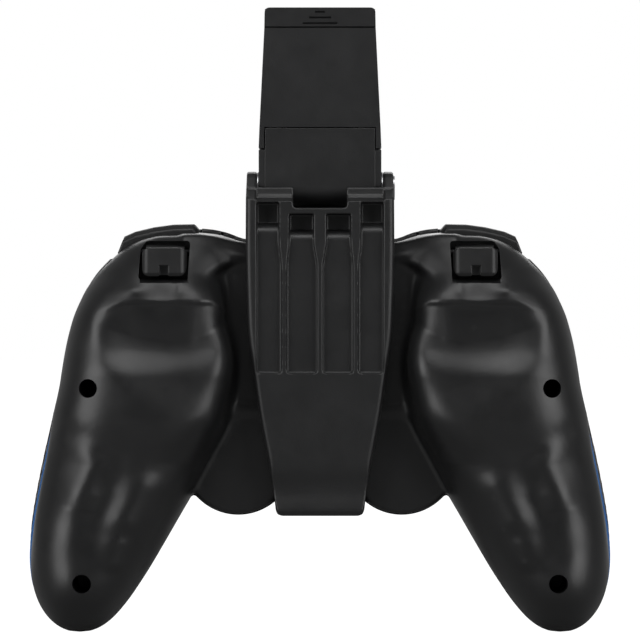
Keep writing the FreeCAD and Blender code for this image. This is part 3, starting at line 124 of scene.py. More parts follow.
def applied(obj):
    """obj with its modifiers turned into mesh."""
    depsgraph = bpy.context.evaluated_depsgraph_get()
    mesh = bpy.data.meshes.new_from_object(obj.evaluated_get(depsgraph))
    old = obj.data
    obj.modifiers.clear()
    obj.data = mesh
    bpy.data.meshes.remove(old)
    return obj


def edit(mesh, *steps):
    """Runs bmesh steps on a mesh."""
    bm = bmesh.new()
    bm.from_mesh(mesh)
    for step in steps:
        step(bm)
    bm.to_mesh(mesh)
    bm.free()


def turn_outward(bm):
    bmesh.ops.recalc_face_normals(bm, faces=bm.faces)


def drop_slivers(bm):
    bmesh.ops.dissolve_degenerate(bm, edges=bm.edges, dist=1e-8)


def weld(distance):
    """A step that joins points nearer than a distance in metres."""
    return lambda bm: bmesh.ops.remove_doubles(bm, verts=bm.verts, dist=distance)


def boolean(obj, tools, operation="DIFFERENCE", solver="EXACT"):
    """Cuts, joins or meets obj with a tool, or with each of a list of tools."""
    for tool in tools if isinstance(tools, list) else [tools]:
        m = obj.modifiers.new("cut", "BOOLEAN")
        m.operation = operation
        m.solver = solver
        m.object = tool
        applied(obj)
        bpy.data.objects.remove(tool)
    return obj


def bevel(obj, width, segments=2, angle=30):
    m = obj.modifiers.new("edges", "BEVEL")
    m.width = width * MM
    m.segments = segments
    m.limit_method = "ANGLE"
    m.angle_limit = math.radians(angle)
    m.miter_outer = "MITER_ARC"
    return applied(obj)


def smooth(obj, angle=32):
    obj.data.polygons.foreach_set("use_smooth", [True] * len(obj.data.polygons))
    obj.data.set_sharp_from_angle(angle=math.radians(angle))
    return obj


def flat_faces(obj, angle=32):
    """Smooth shading that keeps the large faces flat and lets only the rounded edges turn."""
    smooth(obj, angle)
    m = obj.modifiers.new("normals", "WEIGHTED_NORMAL")
    m.keep_sharp = True
    m.weight = 100
    return applied(obj)


def mirrored_copy(obj, name):
    """A copy on the other side of the middle."""
    copy = linked(obj.copy())
    copy.data = obj.data.copy()
    copy.name = name
    copy.data.transform(Matrix.Scale(-1, 4, (1, 0, 0)))
    copy.data.flip_normals()
    return copy


def on_both_sides(node, left, angle, body=None):
    """A piece on the player's left and its mirror image on the right, on one body or each on its own."""
    right = mirrored_copy(smooth(left, angle), "right_%s_skin" % node)
    for side, obj in (("left_", left), ("right_", right)):
        place(obj, body or side + node, side + node)


def along(axis, a, b, d):
    """The point at a, b in the plane across an axis and d along it."""
    return {"x": (d, a, b), "y": (a, d, b), "z": (a, b, d)}[axis]


def prism(name, outline, low, high, axis="y"):
    """An extruded outline: (x, z) along y, (y, z) along x, or (x, y) along z."""
    n = len(outline)
    verts = [along(axis, *p, d) for d in (low, high) for p in outline]
    faces = [tuple(range(n)), tuple(range(2 * n - 1, n - 1, -1))]
    faces += [(i, i + n, (i + 1) % n + n, (i + 1) % n) for i in range(n)]
    obj = new_object(name, verts, faces)
    edit(obj.data, turn_outward)
    return obj


def block(name, box, side=LEFT):
    """A box from its ranges in x, y and z, on either side of the middle."""
    x0, x1 = sorted(side * x for x in box[0])
    (y0, y1), (z0, z1) = box[1:]
    return prism(name, [(x0, z0), (x1, z0), (x1, z1), (x0, z1)], y0, y1)


def round_outline(points, radius, steps=5):
    """An outline with its corners rounded; radius is one number, or one for each point."""
    n = len(points)
    radii = radius if isinstance(radius, (list, tuple)) else [radius] * n
    out = []
    for i, p in enumerate(points):
        r = radii[i]
        p = Vector(p)
        a, b = Vector(points[i - 1]) - p, Vector(points[(i + 1) % n]) - p
        if r <= 0 or a.length < 1e-6 or b.length < 1e-6:
            out.append(tuple(p))
            continue
        half = a.angle(b) / 2
        reach = min(r / math.tan(half), a.length * 0.49, b.length * 0.49)
        start, end = p + a.normalized() * reach, p + b.normalized() * reach
        for k in range(steps + 1):
            t = k / steps
            out.append(tuple(start * (1 - t) ** 2 + p * (2 * t * (1 - t)) + end * t ** 2))
    return out


def lathe(name, profile, centre, axis="y", steps=96):
    """A turned form: the profile's points are (radius, place along the axis)."""
    turn = [2 * math.pi * i / steps for i in range(steps)]
    verts = [along(axis, centre[0] + r * math.cos(a), centre[1] + r * math.sin(a), d)
             for r, d in profile for a in turn]
    rows = len(profile)
    faces = []
    for j in range(rows - 1):
        for i in range(steps):
            k = (i + 1) % steps
            faces.append((j * steps + i, j * steps + k, (j + 1) * steps + k, (j + 1) * steps + i))
    faces.append(tuple(range(steps))[::-1])
    faces.append(tuple((rows - 1) * steps + i for i in range(steps)))
    obj = new_object(name, verts, faces)
    edit(obj.data, weld(1e-7), drop_slivers, turn_outward)
    return obj


def sphere(name, centre, radius, steps=48):
    x, y, z = centre
    rows = [math.pi * k / (steps // 2) for k in range(steps // 2 + 1)]
    profile = [(max(radius * math.sin(a), 0.0), y - radius * math.cos(a)) for a in rows]
    return lathe(name, profile, (x, z), steps=steps)


def rod(name, centre, radius, low, high, axis="y", steps=64):
    return lathe(name, [(radius, low), (radius, high)], centre, axis, steps)


# The case as a field: negative inside, zero on the surface, millimetres nearby

# sections of a grip: height, middle in x, half width, and the depths of the face, back and widest place
LEVELS = np.array((
    (0.0, 63.3, 0.0, -14.0, -14.0, -14.0),
    (1.2, 63.2, 4.9, -8.0, -19.0, -13.5),
    (4.6, 63.1, 9.3, -3.5, -23.0, -10.5),
    (10.5, 62.4, 13.3, 0.5, -25.5, -8.5),
    (18.0, 60.8, 16.5, 4.0, -26.5, -6.5),
    (27.5, 58.0, 19.2, 7.5, -26.8, -4.5),
    (37.0, 54.6, 21.3, 10.0, -26.2, -3.0),
    (47.0, 50.7, 23.2, 12.0, -25.8, -2.0),
    (57.0, 47.4, 24.2, 13.0, -26.5, -1.0),
    (67.0, 45.9, 23.5, 13.2, -26.0, 0.0),
    (75.0, 45.5, 22.4, 13.2, -24.2, 0.0),
    (82.0, 45.3, 20.8, 13.2, -23.2, 0.0),
    (89.0, 44.3, 18.9, 13.2, -21.5, 0.0),
    (95.0, 42.3, 17.4, 13.0, -18.0, 0.0),
    (100.0, 39.7, 15.5, 12.4, -14.5, 0.0),
    (104.0, 38.0, 13.8, 11.6, -11.0, 0.0),
    (110.0, 36.6, 12.0, 10.0, -7.0, 0.0),
))
LEVEL_Z = LEVELS[:, 0]
ROUND = 2.35  # power of a section's curve: 2 is an ellipse, and more is fuller
FULLER_FACE = 1.65  # what the face side has more, and the heights between which it comes in
FULLER_FACE_Z = (40.0, 70.0)
FULLER_PALM = (2.7, 0.5)  # what the palm's inner and outer half have more, and where
FULLER_PALM_Z = (44.0, 60.0, 85.0, 95.0)
TOP_EDGE = np.array((
    (0.0, 101.2), (19.0, 102.2), (24.0, 103.2), (29.0, 104.2), (33.0, 104.5), (41.7, 104.4), (46.0, 103.7),
    (49.4, 102.6), (53.7, 100.1), (57.0, 97.0), (62.0, 92.0), (80.0, 70.0),
))


TINY = 1e-12               # keeps a division from ending in nothing
FAR_OFF = 1e9              # farther than any point of the case


def curve(xs, ys, x):
    """A smooth curve through points that never overshoots them."""
    xs, ys = np.asarray(xs, float), np.asarray(ys, float)
    h = np.diff(xs)
    d = np.diff(ys) / h
    m = np.zeros_like(ys)
    m[1:-1] = np.where(d[:-1] * d[1:] > 0, 2 * d[:-1] * d[1:] / (d[:-1] + d[1:] + TINY), 0)
    m[0], m[-1] = d[0], d[-1]
    x = np.clip(x, xs[0], xs[-1])
    i = np.clip(np.searchsorted(xs, x, side="right") - 1, 0, len(xs) - 2)
    t = (x - xs[i]) / h[i]
    a, b = ys[i], ys[i + 1]
    return (a * (1 + 2 * t) * (1 - t) ** 2 + m[i] * h[i] * t * (1 - t) ** 2
            + b * t * t * (3 - 2 * t) + m[i + 1] * h[i] * t * t * (t - 1))


def soft_min(a, b, k):
    """The joint of two forms with a fillet of about k."""
    h = np.clip(0.5 + 0.5 * (b - a) / k, 0, 1)
    return b + (a - b) * h - k * h * (1 - h)


def soft_max(a, b, k):
    """Where two forms meet, with a soft edge of about k."""
    return -soft_min(-a, -b, k)


def round_max(a, b, r):
    """Where two forms meet, with their common edge rounded to a radius."""
    u, v = np.maximum(a + r, 0), np.maximum(b + r, 0)
    return np.hypot(u, v) + np.minimum(np.maximum(a, b) + r, 0) - r


def to_segment(x, y, a, b):
    """Distance from a straight line between two points, and how far along it (0 to 1)."""
    (x0, y0), (x1, y1) = a, b
    dx, dy = x1 - x0, y1 - y0
    t = np.clip(((x - x0) * dx + (y - y0) * dy) / max(dx * dx + dy * dy, TINY), 0, 1)
    return np.hypot(x - x0 - t * dx, y - y0 - t * dy), t


def to_line(x, y, points):
    """Distance from a broken line, and how far along it (0 to 1)."""
    best = np.full(np.shape(x), FAR_OFF)
    where = np.zeros(np.shape(x))
    n = len(points) - 1
    for i in range(n):
        d, t = to_segment(x, y, points[i], points[i + 1])
        where = np.where(d < best, (i + t) / n, where)
        best = np.minimum(best, d)
    return best, where


def polygon_field(points, x, y):
    """Signed distance to a closed outline, negative inside."""
    inside = np.zeros(np.shape(x), bool)
    for (x0, y0), (x1, y1) in zip(points, points[1:] + points[:1]):
        dy = y1 - y0
        crosses = (y0 > y) != (y1 > y)
        inside ^= crosses & (x < x0 + (y - y0) * (x1 - x0) / (dy if abs(dy) > TINY else TINY))
    d, _ = to_line(x, y, [*points, points[0]])
    return np.where(inside, -d, d)


def box_field(v, low, high):
    """Distance to a slab between two values."""
    return np.abs(v - (low + high) / 2) - (high - low) / 2


def block_field(x, y, z, box):
    """A box from its ranges in x, y and z."""
    return np.maximum(np.maximum(box_field(x, *box[0]), box_field(y, *box[1])), box_field(z, *box[2]))


def bump(d, width):
    """A soft hill of height one along d = 0."""
    return np.exp(-(d / width) ** 2)


def ramp(v, low, high):
    """A soft step from zero at low to one at high."""
    t = np.clip((v - low) / (high - low), 0, 1)
    return t * t * (3 - 2 * t)


def plateau(v, rise_from, full_from, full_to, end):
    """One in the middle of a range, with a soft step at each end."""
    return ramp(v, rise_from, full_from) * (1 - ramp(v, full_to, end))


# The moulded relief of a palm hump and grip

# finger groove: lower edge, upper edge, depth, and where it begins and ends in x
GROOVE_LOW = (
    (20.0, 80.5), (23.7, 78.6), (30.0, 74.4), (37.0, 72.2), (46.0, 73.6), (54.0, 75.8), (60.0, 77.6),
)
GROOVE_TOP_Z = 86.5
GROOVE_DEPTH = 2.9
GROOVE_X = (21.5, 32.5, 49.0, 60.0)
GROOVE_FLOOR = 0.25  # share of the depth that is left at the upper edge
# how far the upper edge comes down at each end, and where
GROOVE_TOP_OUTER = (2.2, 50.0, 58.0)
GROOVE_TOP_INNER = (2.6, 24.0, 29.0)
# how far below its lower edge the groove begins, what the outer part has less, and where it reaches its depth
GROOVE_BEGINS = (17.0, 8.0, 38.0, 60.0)
GROOVE_FULL = 4.0
# the palm falls away softly towards its lower inner corner
PALM_FALL = 2.2
PALM_FALL_X = (24.0, 44.0)
PALM_FALL_Z = (32.0, 52.0, 58.0, 74.0)
# soft hills (+) and hollows (-): height, middle in x and z, and reach in x and z
SWELLS = (
    (-0.8, 41.5, 89.4, 5.2, 3.4),
    (0.5, 48.6, 90.0, 2.6, 1.5),
    (1.35, 64.0, 11.5, 7.5, 7.5),
)
# ridges (+) and creases (-): height, width, the shares of the line where they are full and fade, the line
LINES = (
    (-1.5, 4.6, 0.2, 0.45, ((56.0, 47.0), (55.2, 36.0), (58.0, 29.5), (60.2, 20.7), (61.6, 14.4))),
    (1.15, 4.0, 0.3, 0.7, (
        (66.5, 55.0), (63.4, 50.8), (60.2, 47.6), (58.9, 44.5), (60.2, 40.8), (62.6, 37.0), (64.3, 33.0),
        (64.0, 28.0))),
    (0.85, 4.2, 0.3, 0.7, ((44.6, 44.0), (46.4, 38.4), (50.4, 31.6), (53.2, 25.6))),
    (0.45, 3.4, 0.3, 0.7, ((53.0, 27.4), (53.6, 15.6))),
    (-0.55, 3.1, 0.2, 0.7, (
        (68.5, 55.5), (64.5, 51.8), (60.5, 50.2), (55.5, 47.4), (50.5, 44.9), (45.0, 43.2))),
)


def groove(x, z):
    """Depth of the finger groove: a soft rim below, and a floor that comes back up to a crisp upper edge."""
    low = curve(*zip(*GROOVE_LOW), x)
    outer, inner = GROOVE_TOP_OUTER, GROOVE_TOP_INNER
    top = GROOVE_TOP_Z - outer[0] * ramp(x, *outer[1:]) - inner[0] * (1 - ramp(x, *inner[1:]))
    below, less, start, end = GROOVE_BEGINS
    full = low + GROOVE_FULL
    rise = ramp(z, low - below + less * ramp(x, start, end), full)
    fall = 1 - (1 - GROOVE_FLOOR) * np.clip((z - full) / (top - full), 0, 1)
    return GROOVE_DEPTH * plateau(x, *GROOVE_X) * rise * fall * (1 - ramp(z, top - 0.5, top + 0.8))


def relief(x, z):
    """How far the moulded surface stands out (+) or in (-) from the plain lobe."""
    out = -groove(x, z)
    out -= PALM_FALL * (1 - ramp(x, *PALM_FALL_X)) * plateau(z, *PALM_FALL_Z)
    for high, at_x, at_z, wide, tall in SWELLS:
        out += high * bump(np.hypot((x - at_x) / wide, (z - at_z) / tall), 1.0)
    for high, width, full, fade, line in LINES:
        d, t = to_line(x, z, line)
        out += high * bump(d, width) * plateau(t, 0.0, full, fade, 1.0)
    return out


# The case's forms; the last number in soft_min, soft_max and round_max is the size of the fillet or edge

RELIEF_DEPTHS = (6.0, 14.0)  # depths behind y = 0 between which the relief comes in
RELIEF_SHARE = 0.85
LOBE_OVER_TOP = 0.2  # how far the lobes stand over the top edge
FACE_OVER_TOP = 1.6  # and how much higher the face side is
LIP_Y = (-2.0, 0.5)
MIDDLE_BACK_Y = -9.0
MIDDLE_HALF = 31.6
MIDDLE_FLARE = (14.0, 5.0, 12.0)  # how much wider the face is, and the depths between which it widens
MIDDLE_LOW_Z = 57.0
SHOULDER = (0.75, 0.66, -5.5)  # steepness in z and y of the slope behind the top edge, and where it starts
SADDLE_WIDTHS = ((34.0, 10.9), (38.0, 11.8), (58.3, 15.5), (68.1, 16.9), (81.8, 18.5), (101.0, 19.0))
SADDLE_Z = (34.2, 101.2)
SADDLE_BACK = (-13.0, -8.0, 92.0, 101.2)  # its back at the lower and the upper of two heights
FACET_POINT = (20.0, -9.4, 97.0)
FACET_SLOPES = (-0.38, 0.55)  # how its depth changes with x and z
FACET_STEEP = 0.85  # share of a depth that is distance from the facet
FACET_LOW = (34.0, 91.5)  # a point of its lower boundary, and the way out of it in x and z
FACET_DOWN = (0.501, 0.866)
FACET_END = (36.0, 4.0)  # where it ends in x and y


def lobe_middle(z):
    return curve(LEVEL_Z, LEVELS[:, 1], z)


def lobe_field(x, y, z):
    """One hand grip with its hump, on the +X side."""
    middle, widest = lobe_middle(z), curve(LEVEL_Z, LEVELS[:, 5], z)
    half = np.sqrt(np.maximum(curve(LEVEL_Z, LEVELS[:, 2] ** 2, z), 1e-4))
    front = np.sqrt(np.maximum(curve(LEVEL_Z, (LEVELS[:, 3] - LEVELS[:, 5]) ** 2, z), 1e-4))
    back = np.sqrt(np.maximum(curve(LEVEL_Z, (LEVELS[:, 5] - LEVELS[:, 4]) ** 2, z), 1e-4))
    u = np.abs(x - middle) / half
    is_face = y > widest
    v = np.where(is_face, (y - widest) / front, (widest - y) / back)
    full_face = ROUND + FULLER_FACE * ramp(z, *FULLER_FACE_Z)
    full_back = ROUND + plateau(z, *FULLER_PALM_Z) * np.where(x < middle, *FULLER_PALM)
    n = np.where(is_face, full_face, full_back)
    r = (u ** n + v ** n + 1e-9) ** (1 / n)
    size = np.where(is_face, np.minimum(half, front), np.minimum(half, back))
    return (r - 1) * size


def middle_field(x, y, z, top):
    """The middle: valley behind, flat face in front, arched top with a sloping shoulder behind."""
    wider, start, end = MIDDLE_FLARE
    outer = MIDDLE_HALF + wider * ramp(y, start, end)
    body = soft_max(soft_max(x - outer, box_field(y, MIDDLE_BACK_Y, FACE_Y), 2.0), MIDDLE_LOW_Z - z, 1.5)
    up, back, start = SHOULDER
    shoulder = (z - top) * up - (y - start) * back
    return soft_max(body, np.where(y < 0, np.maximum(z - top, shoulder), z - top - FACE_OVER_TOP), 0.8)


def saddle_field(x, y, z):
    """The raised strip under the band."""
    width = curve(*zip(*SADDLE_WIDTHS), z)
    deep, shallow, low, high = SADDLE_BACK
    back = deep + (shallow - deep) * np.clip((z - low) / (high - low), 0, 1)
    wide = soft_max(x - width, np.maximum(back - y, y - FACE_Y), 0.8)
    return soft_max(wide, np.maximum(SADDLE_Z[0] - z, z - SADDLE_Z[1]), 1.0)


def facet_field(x, y, z, top):
    """The smooth slope from a trigger's housing down to the band, with the dark valley under it."""
    (at_x, at_y, at_z), (across, up) = FACET_POINT, FACET_SLOPES
    slope = at_y + across * (x - at_x) + up * (z - at_z)
    under = (FACET_LOW[0] - x) * FACET_DOWN[0] + (FACET_LOW[1] - z) * FACET_DOWN[1]
    facet = soft_max((slope - y) * FACET_STEEP, under, 2.2)
    facet = soft_max(facet, np.maximum(x - FACET_END[0], y - FACET_END[1]), 1.0)
    return soft_max(facet, z - top, 0.8)


def case_field(x, y, z, pod_radius=POD_RADIUS):
    """The whole case on the +X side, with soft fillets where its forms meet."""
    lobe = lobe_field(x, y, z) - relief(x, z) * ramp(-y, *RELIEF_DEPTHS) * RELIEF_SHARE
    top = curve(TOP_EDGE[:, 0], TOP_EDGE[:, 1], x)
    lobe = soft_max(lobe, z - top - LOBE_OVER_TOP - FACE_OVER_TOP * ramp(y, *LIP_Y), 2.0)
    pod = round_max(np.hypot(x - POD[0], z - POD[1]) - pod_radius, box_field(y, *POD_Y), 0.9)
    body = soft_min(soft_min(lobe, facet_field(x, y, z, top), 2.4), middle_field(x, y, z, top), 2.6)
    return np.minimum(soft_min(body, pod, 1.2), saddle_field(x, y, z))


def field_object(name, field, low, high, step, whole=True):
    """The surface where a field is zero, meshed on the +X side and mirrored where the whole is wanted."""
    xs = np.arange(0 if whole else low[0], high[0] + step, step)
    ys = np.arange(low[1], high[1] + step, step)
    zs = np.arange(low[2], high[2] + step, step)
    values = np.empty((len(xs), len(ys), len(zs)), np.float32)
    y, z = np.meshgrid(ys, zs, indexing="ij")
    for i, x in enumerate(xs):
        values[i] = field(np.full_like(y, x), y, z)
    start = -xs[-1] if whole else xs[0]
    if whole:
        values = np.concatenate([values[:0:-1], values])
    grid = openvdb.FloatGrid(4 * step)
    grid.copyFromArray(np.clip(values, -4 * step, 4 * step).astype(np.float32))
    points, triangles, quads = grid.convertToPolygons(isovalue=0.0, adaptivity=0.0)
    points = points * step + np.array((start, ys[0], zs[0]))
    faces = [tuple(q[::-1]) for q in quads] + [tuple(t[::-1]) for t in triangles]
    return new_object(name, points, faces)


# The shut line between the shells, and the slabs cut along it

SLAB_HALF = 120.0  # half a slab's width, wider than any other tool


def shut_y(z):
    """How deep the shut line lies at a height: an arc down the grips."""
    (y0, z0), (y2, z2) = (SHUT_TIP_Y, 0.0), (SHUT_Y, SHUT_TOP_Z)
    y1, z1 = y2 + (y0 - y2) * SHUT_BEND[0], z2 * SHUT_BEND[1]
    a = np.array([[2 * (y1 - y0), 2 * (z1 - z0)], [2 * (y2 - y0), 2 * (z2 - z0)]])
    b = np.array([y1 ** 2 + z1 ** 2 - y0 ** 2 - z0 ** 2, y2 ** 2 + z2 ** 2 - y0 ** 2 - z0 ** 2])
    cy, cz = np.linalg.solve(a, b)
    r = math.hypot(y0 - cy, z0 - cz)
    z = min(max(z, 0.0), SHUT_TOP_Z)
    side = 1 if y1 > cy else -1
    return cy + side * math.sqrt(max(r * r - (z - cz) ** 2, 0))


def shut_prism(name, low, high, z0=-20.0, z1=140.0):
    """The slab between two offsets from the shut line, across the whole case."""
    rows = [z0, *np.linspace(max(z0, 0.0), min(z1, SHUT_TOP_Z), 40)] + ([z1] if z1 > SHUT_TOP_Z else [])
    rows = sorted(set(rows))

    def edge(offset):
        if abs(offset) >= FAR:
            return [(offset, rows[0]), (offset, rows[-1])]
        return [(shut_y(z) + offset, z) for z in rows]

    return prism(name, edge(high) + edge(low)[::-1], -SLAB_HALF, SLAB_HALF, "x")


SHUT_ROWS = np.linspace(0, SHUT_TOP_Z, 60)
SHUT_DEPTHS = np.array([shut_y(z) for z in SHUT_ROWS])


def shut_depth(z):
    """The shut line's depth at many heights at once."""
    return np.interp(z, SHUT_ROWS, SHUT_DEPTHS)


# The two shells, split along the shut line

SHUT_HALF_GAP = 0.1
STRIP_Z = (12.0, 66.5)
STRIP_HALF = 0.9  # half the thickness of the coloured strip along the shut line
STRIP_DEPTH = 2.4
STRIP_GAP = 0.08
STRIP_STEP = 0.9  # how far the strip steps in beside the front shell
STEP_DEPTH = 3.3  # and the back shell's edge beside the strip
STEP_REACH = 14.0  # how far behind the shut line the step runs out
STEP_X = (4.0, 12.0)  # how far outside a grip's middle it comes in
STEP_Z = (41.0, 19.0)  # its middle and its reach in height
CHAMFER = 1.1  # width of the chamfer that the front shell has beside the strip
CHAMFER_WAY = (0.5, 0.866)
WINDOW = ((34.3, 103.2), (34.7, 92.9), (47.7, 92.9), (47.4, 101.0), (46.1, 103.2))
WINDOW_RADII = [1.0, 0.8, 0.8, 1.2, 1.0]
WINDOW_FLOOR = -7.5
TIP_ROOM_X = (34.7, 47.3)
TIP_ROOM = ((-19.6, 91.95), (-17.2, 92.95), (-17.2, 93.4), (-FAR, 93.4), (-FAR, 91.95))
POCKET = ((31.6, 98.6), (80.0, 98.6), (80.0, 130.0), (31.6, 130.0))
POCKET_Y = (-5.5, 9.5)
PLUNGER_ROOM = ((47.0, 50.4), (-3.6, 0.5), (94.0, 99.8))
TAB_ROOM = ((38.6, 43.2), (-8.5, -4.5), (94.2, 97.8))
TOP_NOTCH = ((25.8, 26.6), (-2.0, 4.0), (102.9, 120.0))
DOME_ROOM = 11.9
STICK_HOLE = 8.4
STICK_RIM = ((-0.2, 14.0), (1.2, 15.4), (1.2, 20.0))  # more than the hole's radius, and depth
ROOM_CORNER = (60.3, 88.0)  # the room's upper outer corner is cut off from here
ROOM_CUT = (0.8, 0.6)
ROOM_Z = (37.2, 96.4)
ROOM_Y = (-5.5, 10.9)
ROOM_WALL = 1.7
FACE_CUT = (9.0, 20.0)  # the depths between which holes in the face are cut
DPAD_HOLE = (12.2, 4.6)  # half the cross's size and half its arms' width
BUTTON_HOLE = ((4.8, 9.0), (4.8, 13.1), (5.5, 13.8), (5.5, 20.0))
MENU_HOLE = (3.3, 1.9)  # half the size
MENU_AT = (9.5, 71.0)
HOME_AT = (0.0, 60.5)
HOME_HOLE = 4.3
LIGHT_HOLE = (1.45, 0.65)
LIGHTS = ((-7.5, -2.5, 2.5, 7.5), 79.5)
SOCKET_HOLE = ((-3.85, 3.85), (1.6, 4.4), (90.0, 110.0))


def edge_step(x, y, z):
    """Share of a step that runs along the outer side of a grip, from the shut line backwards."""
    middle = lobe_middle(z)
    outer = ramp(x, middle + STEP_X[0], middle + STEP_X[1])
    return outer * bump(z - STEP_Z[0], STEP_Z[1]) * (1 - ramp(shut_depth(z) - y, 0.0, STEP_REACH))


def hollowed(skin, x, y, z):
    """A shell's field with the room for the boards taken out, never nearer to the skin than the wall."""
    x0, z0 = ROOM_CORNER
    corner = (x - x0) * ROOM_CUT[0] + (z - z0) * ROOM_CUT[1]
    room = np.maximum(np.maximum(x - x0, box_field(z, *ROOM_Z)), corner)
    room = np.maximum(np.maximum(room, box_field(y, *ROOM_Y)), skin + ROOM_WALL)
    return np.maximum(skin, -room)


def back_field(x, y, z):
    return hollowed(case_field(x, y, z, POD_RADIUS - POD_STEP) + STEP_DEPTH * edge_step(x, y, z), x, y, z)


def front_field(x, y, z):
    """Along the strip the front shell's edge has a chamfer that shows from behind."""
    skin = case_field(x, y, z)
    edge = shut_depth(z) + STRIP_HALF
    cut = (skin + CHAMFER) * CHAMFER_WAY[0] + (edge - y) * CHAMFER_WAY[1]
    beside = (z > STRIP_Z[0]) & (z < STRIP_Z[1]) & (x > lobe_middle(z) + STEP_X[0])
    return hollowed(np.where(beside, np.maximum(skin, cut), skin), x, y, z)


def strip_field(x, y, z):
    return case_field(x, y, z) + STRIP_STEP * edge_step(x, y, z)


def both(make):
    """What make(side) gives, on both sides."""
    return [make(side) for side in (LEFT, RIGHT)]


def both_blocks(name, box):
    return both(lambda side: block(name, box, side))


def well(side, x, z):
    """The plain hole of a screw well."""
    return rod("well", (side * x, z), WELL_RADIUS, shut_y(z) - 0.1, -FAR, steps=48)


def window(side):
    outline = round_outline([(side * x, z) for x, z in WINDOW], WINDOW_RADII)
    return prism("window", outline, -FAR, WINDOW_FLOOR)


def tip_room(side):
    """A chamfer on the window's lower rim, over which the trigger's tip dips."""
    x0, x1 = sorted(side * x for x in TIP_ROOM_X)
    return prism("tip", TIP_ROOM, x0, x1, "x")


def pocket(side):
    """The seat of a shoulder button."""
    return prism("pocket", round_outline([(side * x, z) for x, z in POCKET], [0.5, 0, 0, 0]), *POCKET_Y)


def strip_slab(side, gap):
    """The outer rim of a grip along the shut line."""
    slab = shut_prism("slab", -STRIP_HALF - gap, STRIP_HALF + gap, STRIP_Z[0] - gap, STRIP_Z[1] + gap)
    rows = np.linspace(STRIP_Z[0] - 3, STRIP_Z[1] + 3, 24)
    edge = lobe_middle(rows) + curve(LEVEL_Z, LEVELS[:, 2], rows) - STRIP_DEPTH - gap
    outline = [(side * x, z) for x, z in zip(edge, rows)] + [(side * FAR, rows[-1]), (side * FAR, rows[0])]
    return boolean(slab, prism("edge", outline, -FAR, FAR), "INTERSECT")


def pod_rooms():
    return both(lambda side: rod("pod_room", (side * POD[0], POD[1]), *POD_ROOM))


def strip_rooms():
    return both(lambda side: strip_slab(side, STRIP_GAP))


def slot_hole(name, x, z, half_size, radius, steps=5):
    """A hole in the face with rounded corners."""
    w, h = half_size
    outline = [(x - w, z - h), (x + w, z - h), (x + w, z + h), (x - w, z + h)]
    return prism(name, round_outline(outline, radius, steps), *FACE_CUT)


def cross_hole():
    """The direction pad's hole."""
    half, arm = DPAD_HOLE
    cross = []
    for sx, sz in ((1, 1), (-1, 1), (-1, -1), (1, -1)):
        corner = [(sx * half, sz * arm), (sx * arm, sz * arm), (sx * arm, sz * half)]
        cross += corner if sx * sz > 0 else corner[::-1]
    return prism("dpad_hole", round_outline([(x + DPAD[0], z + DPAD[1]) for x, z in cross], 0.8), *FACE_CUT)


def stick_room(side):
    """The ball-shaped room, the hole and the hole's turned rim round a thumb stick."""
    centre = (side * POD[0], POD[1])
    rim = [(STICK_HOLE + more, y) for more, y in STICK_RIM]
    return [sphere("dome_room", (centre[0], PIVOT_Y, centre[1]), DOME_ROOM),
            rod("stick_hole", centre, STICK_HOLE, PIVOT_Y, FAR, steps=96),
            lathe("stick_rim", rim, centre)]


def cut_all(obj, tools):
    return boolean(obj, tools, solver="MANIFOLD")


def make_back_shell():
    shell = field_object("back_shell_skin", back_field, (0, -30, -2), (81, 3, 109), VOXEL)
    boolean(shell, shut_prism("behind", -FAR, -SHUT_HALF_GAP), "INTERSECT", "MANIFOLD")
    tools = pod_rooms() + both(window) + both(tip_room) + both(pocket)
    tools += [well(side, x, z) for side in (LEFT, RIGHT) for x, z in WELLS]
    tools += strip_rooms() + both_blocks("tab", TAB_ROOM) + both_blocks("plunger", PLUNGER_ROOM)
    return cut_all(shell, tools)


def make_front_shell():
    shell = field_object("front_shell_skin", front_field, (0, -17, -2), (81, 18, 109), VOXEL)
    boolean(shell, shut_prism("before", SHUT_HALF_GAP, FAR), "INTERSECT", "MANIFOLD")
    tools = pod_rooms() + both(pocket) + strip_rooms()
    tools += both_blocks("plunger", PLUNGER_ROOM) + both_blocks("notch", TOP_NOTCH)
    tools += stick_room(LEFT) + stick_room(RIGHT)
    tools.append(cross_hole())
    for i in range(4):
        a = i * math.pi / 2
        centre = (-DPAD[0] + BUTTON_SPREAD * math.cos(a), DPAD[1] + BUTTON_SPREAD * math.sin(a))
        tools.append(lathe("button_hole", BUTTON_HOLE, centre, steps=64))
    tools += both(lambda side: slot_hole("menu_hole", side * MENU_AT[0], MENU_AT[1], MENU_HOLE, 1.8, 8))
    tools.append(rod("home_hole", HOME_AT, HOME_HOLE, *FACE_CUT))
    tools += [slot_hole("light_hole", x, LIGHTS[1], LIGHT_HOLE, 0.6) for x in LIGHTS[0]]
    tools.append(block("socket_hole", SOCKET_HOLE))
    return cut_all(shell, tools)


def make_strip():
    """The player's left strip."""
    strip = field_object("left_trim_skin", strip_field, (50, -18, 6), (81, 6, 72), VOXEL / 2, whole=False)
    return boolean(strip, strip_slab(LEFT, 0.0), "INTERSECT", "MANIFOLD")


place(smooth(make_back_shell(), 40), "case", "back_shell")
place(smooth(make_front_shell(), 40), "case", "front_shell")
on_both_sides("trim", make_strip(), 40, "case")


# Clip band

BAND_LOW = 30.6
BAND_SIDE = (
    (11.5, BAND_LOW), (12.4, 38.0), (16.1, 58.3), (17.5, 68.1), (19.1, 81.8), (19.6, 103.7), (19.5, 122.5),
)
BAND_BACK = -16.5
BAND_INSIDE = ((-13.3, 33.9), (-13.3, 92.0), (-8.3, 101.5), (13.8, 101.5), (13.8, 33.9))
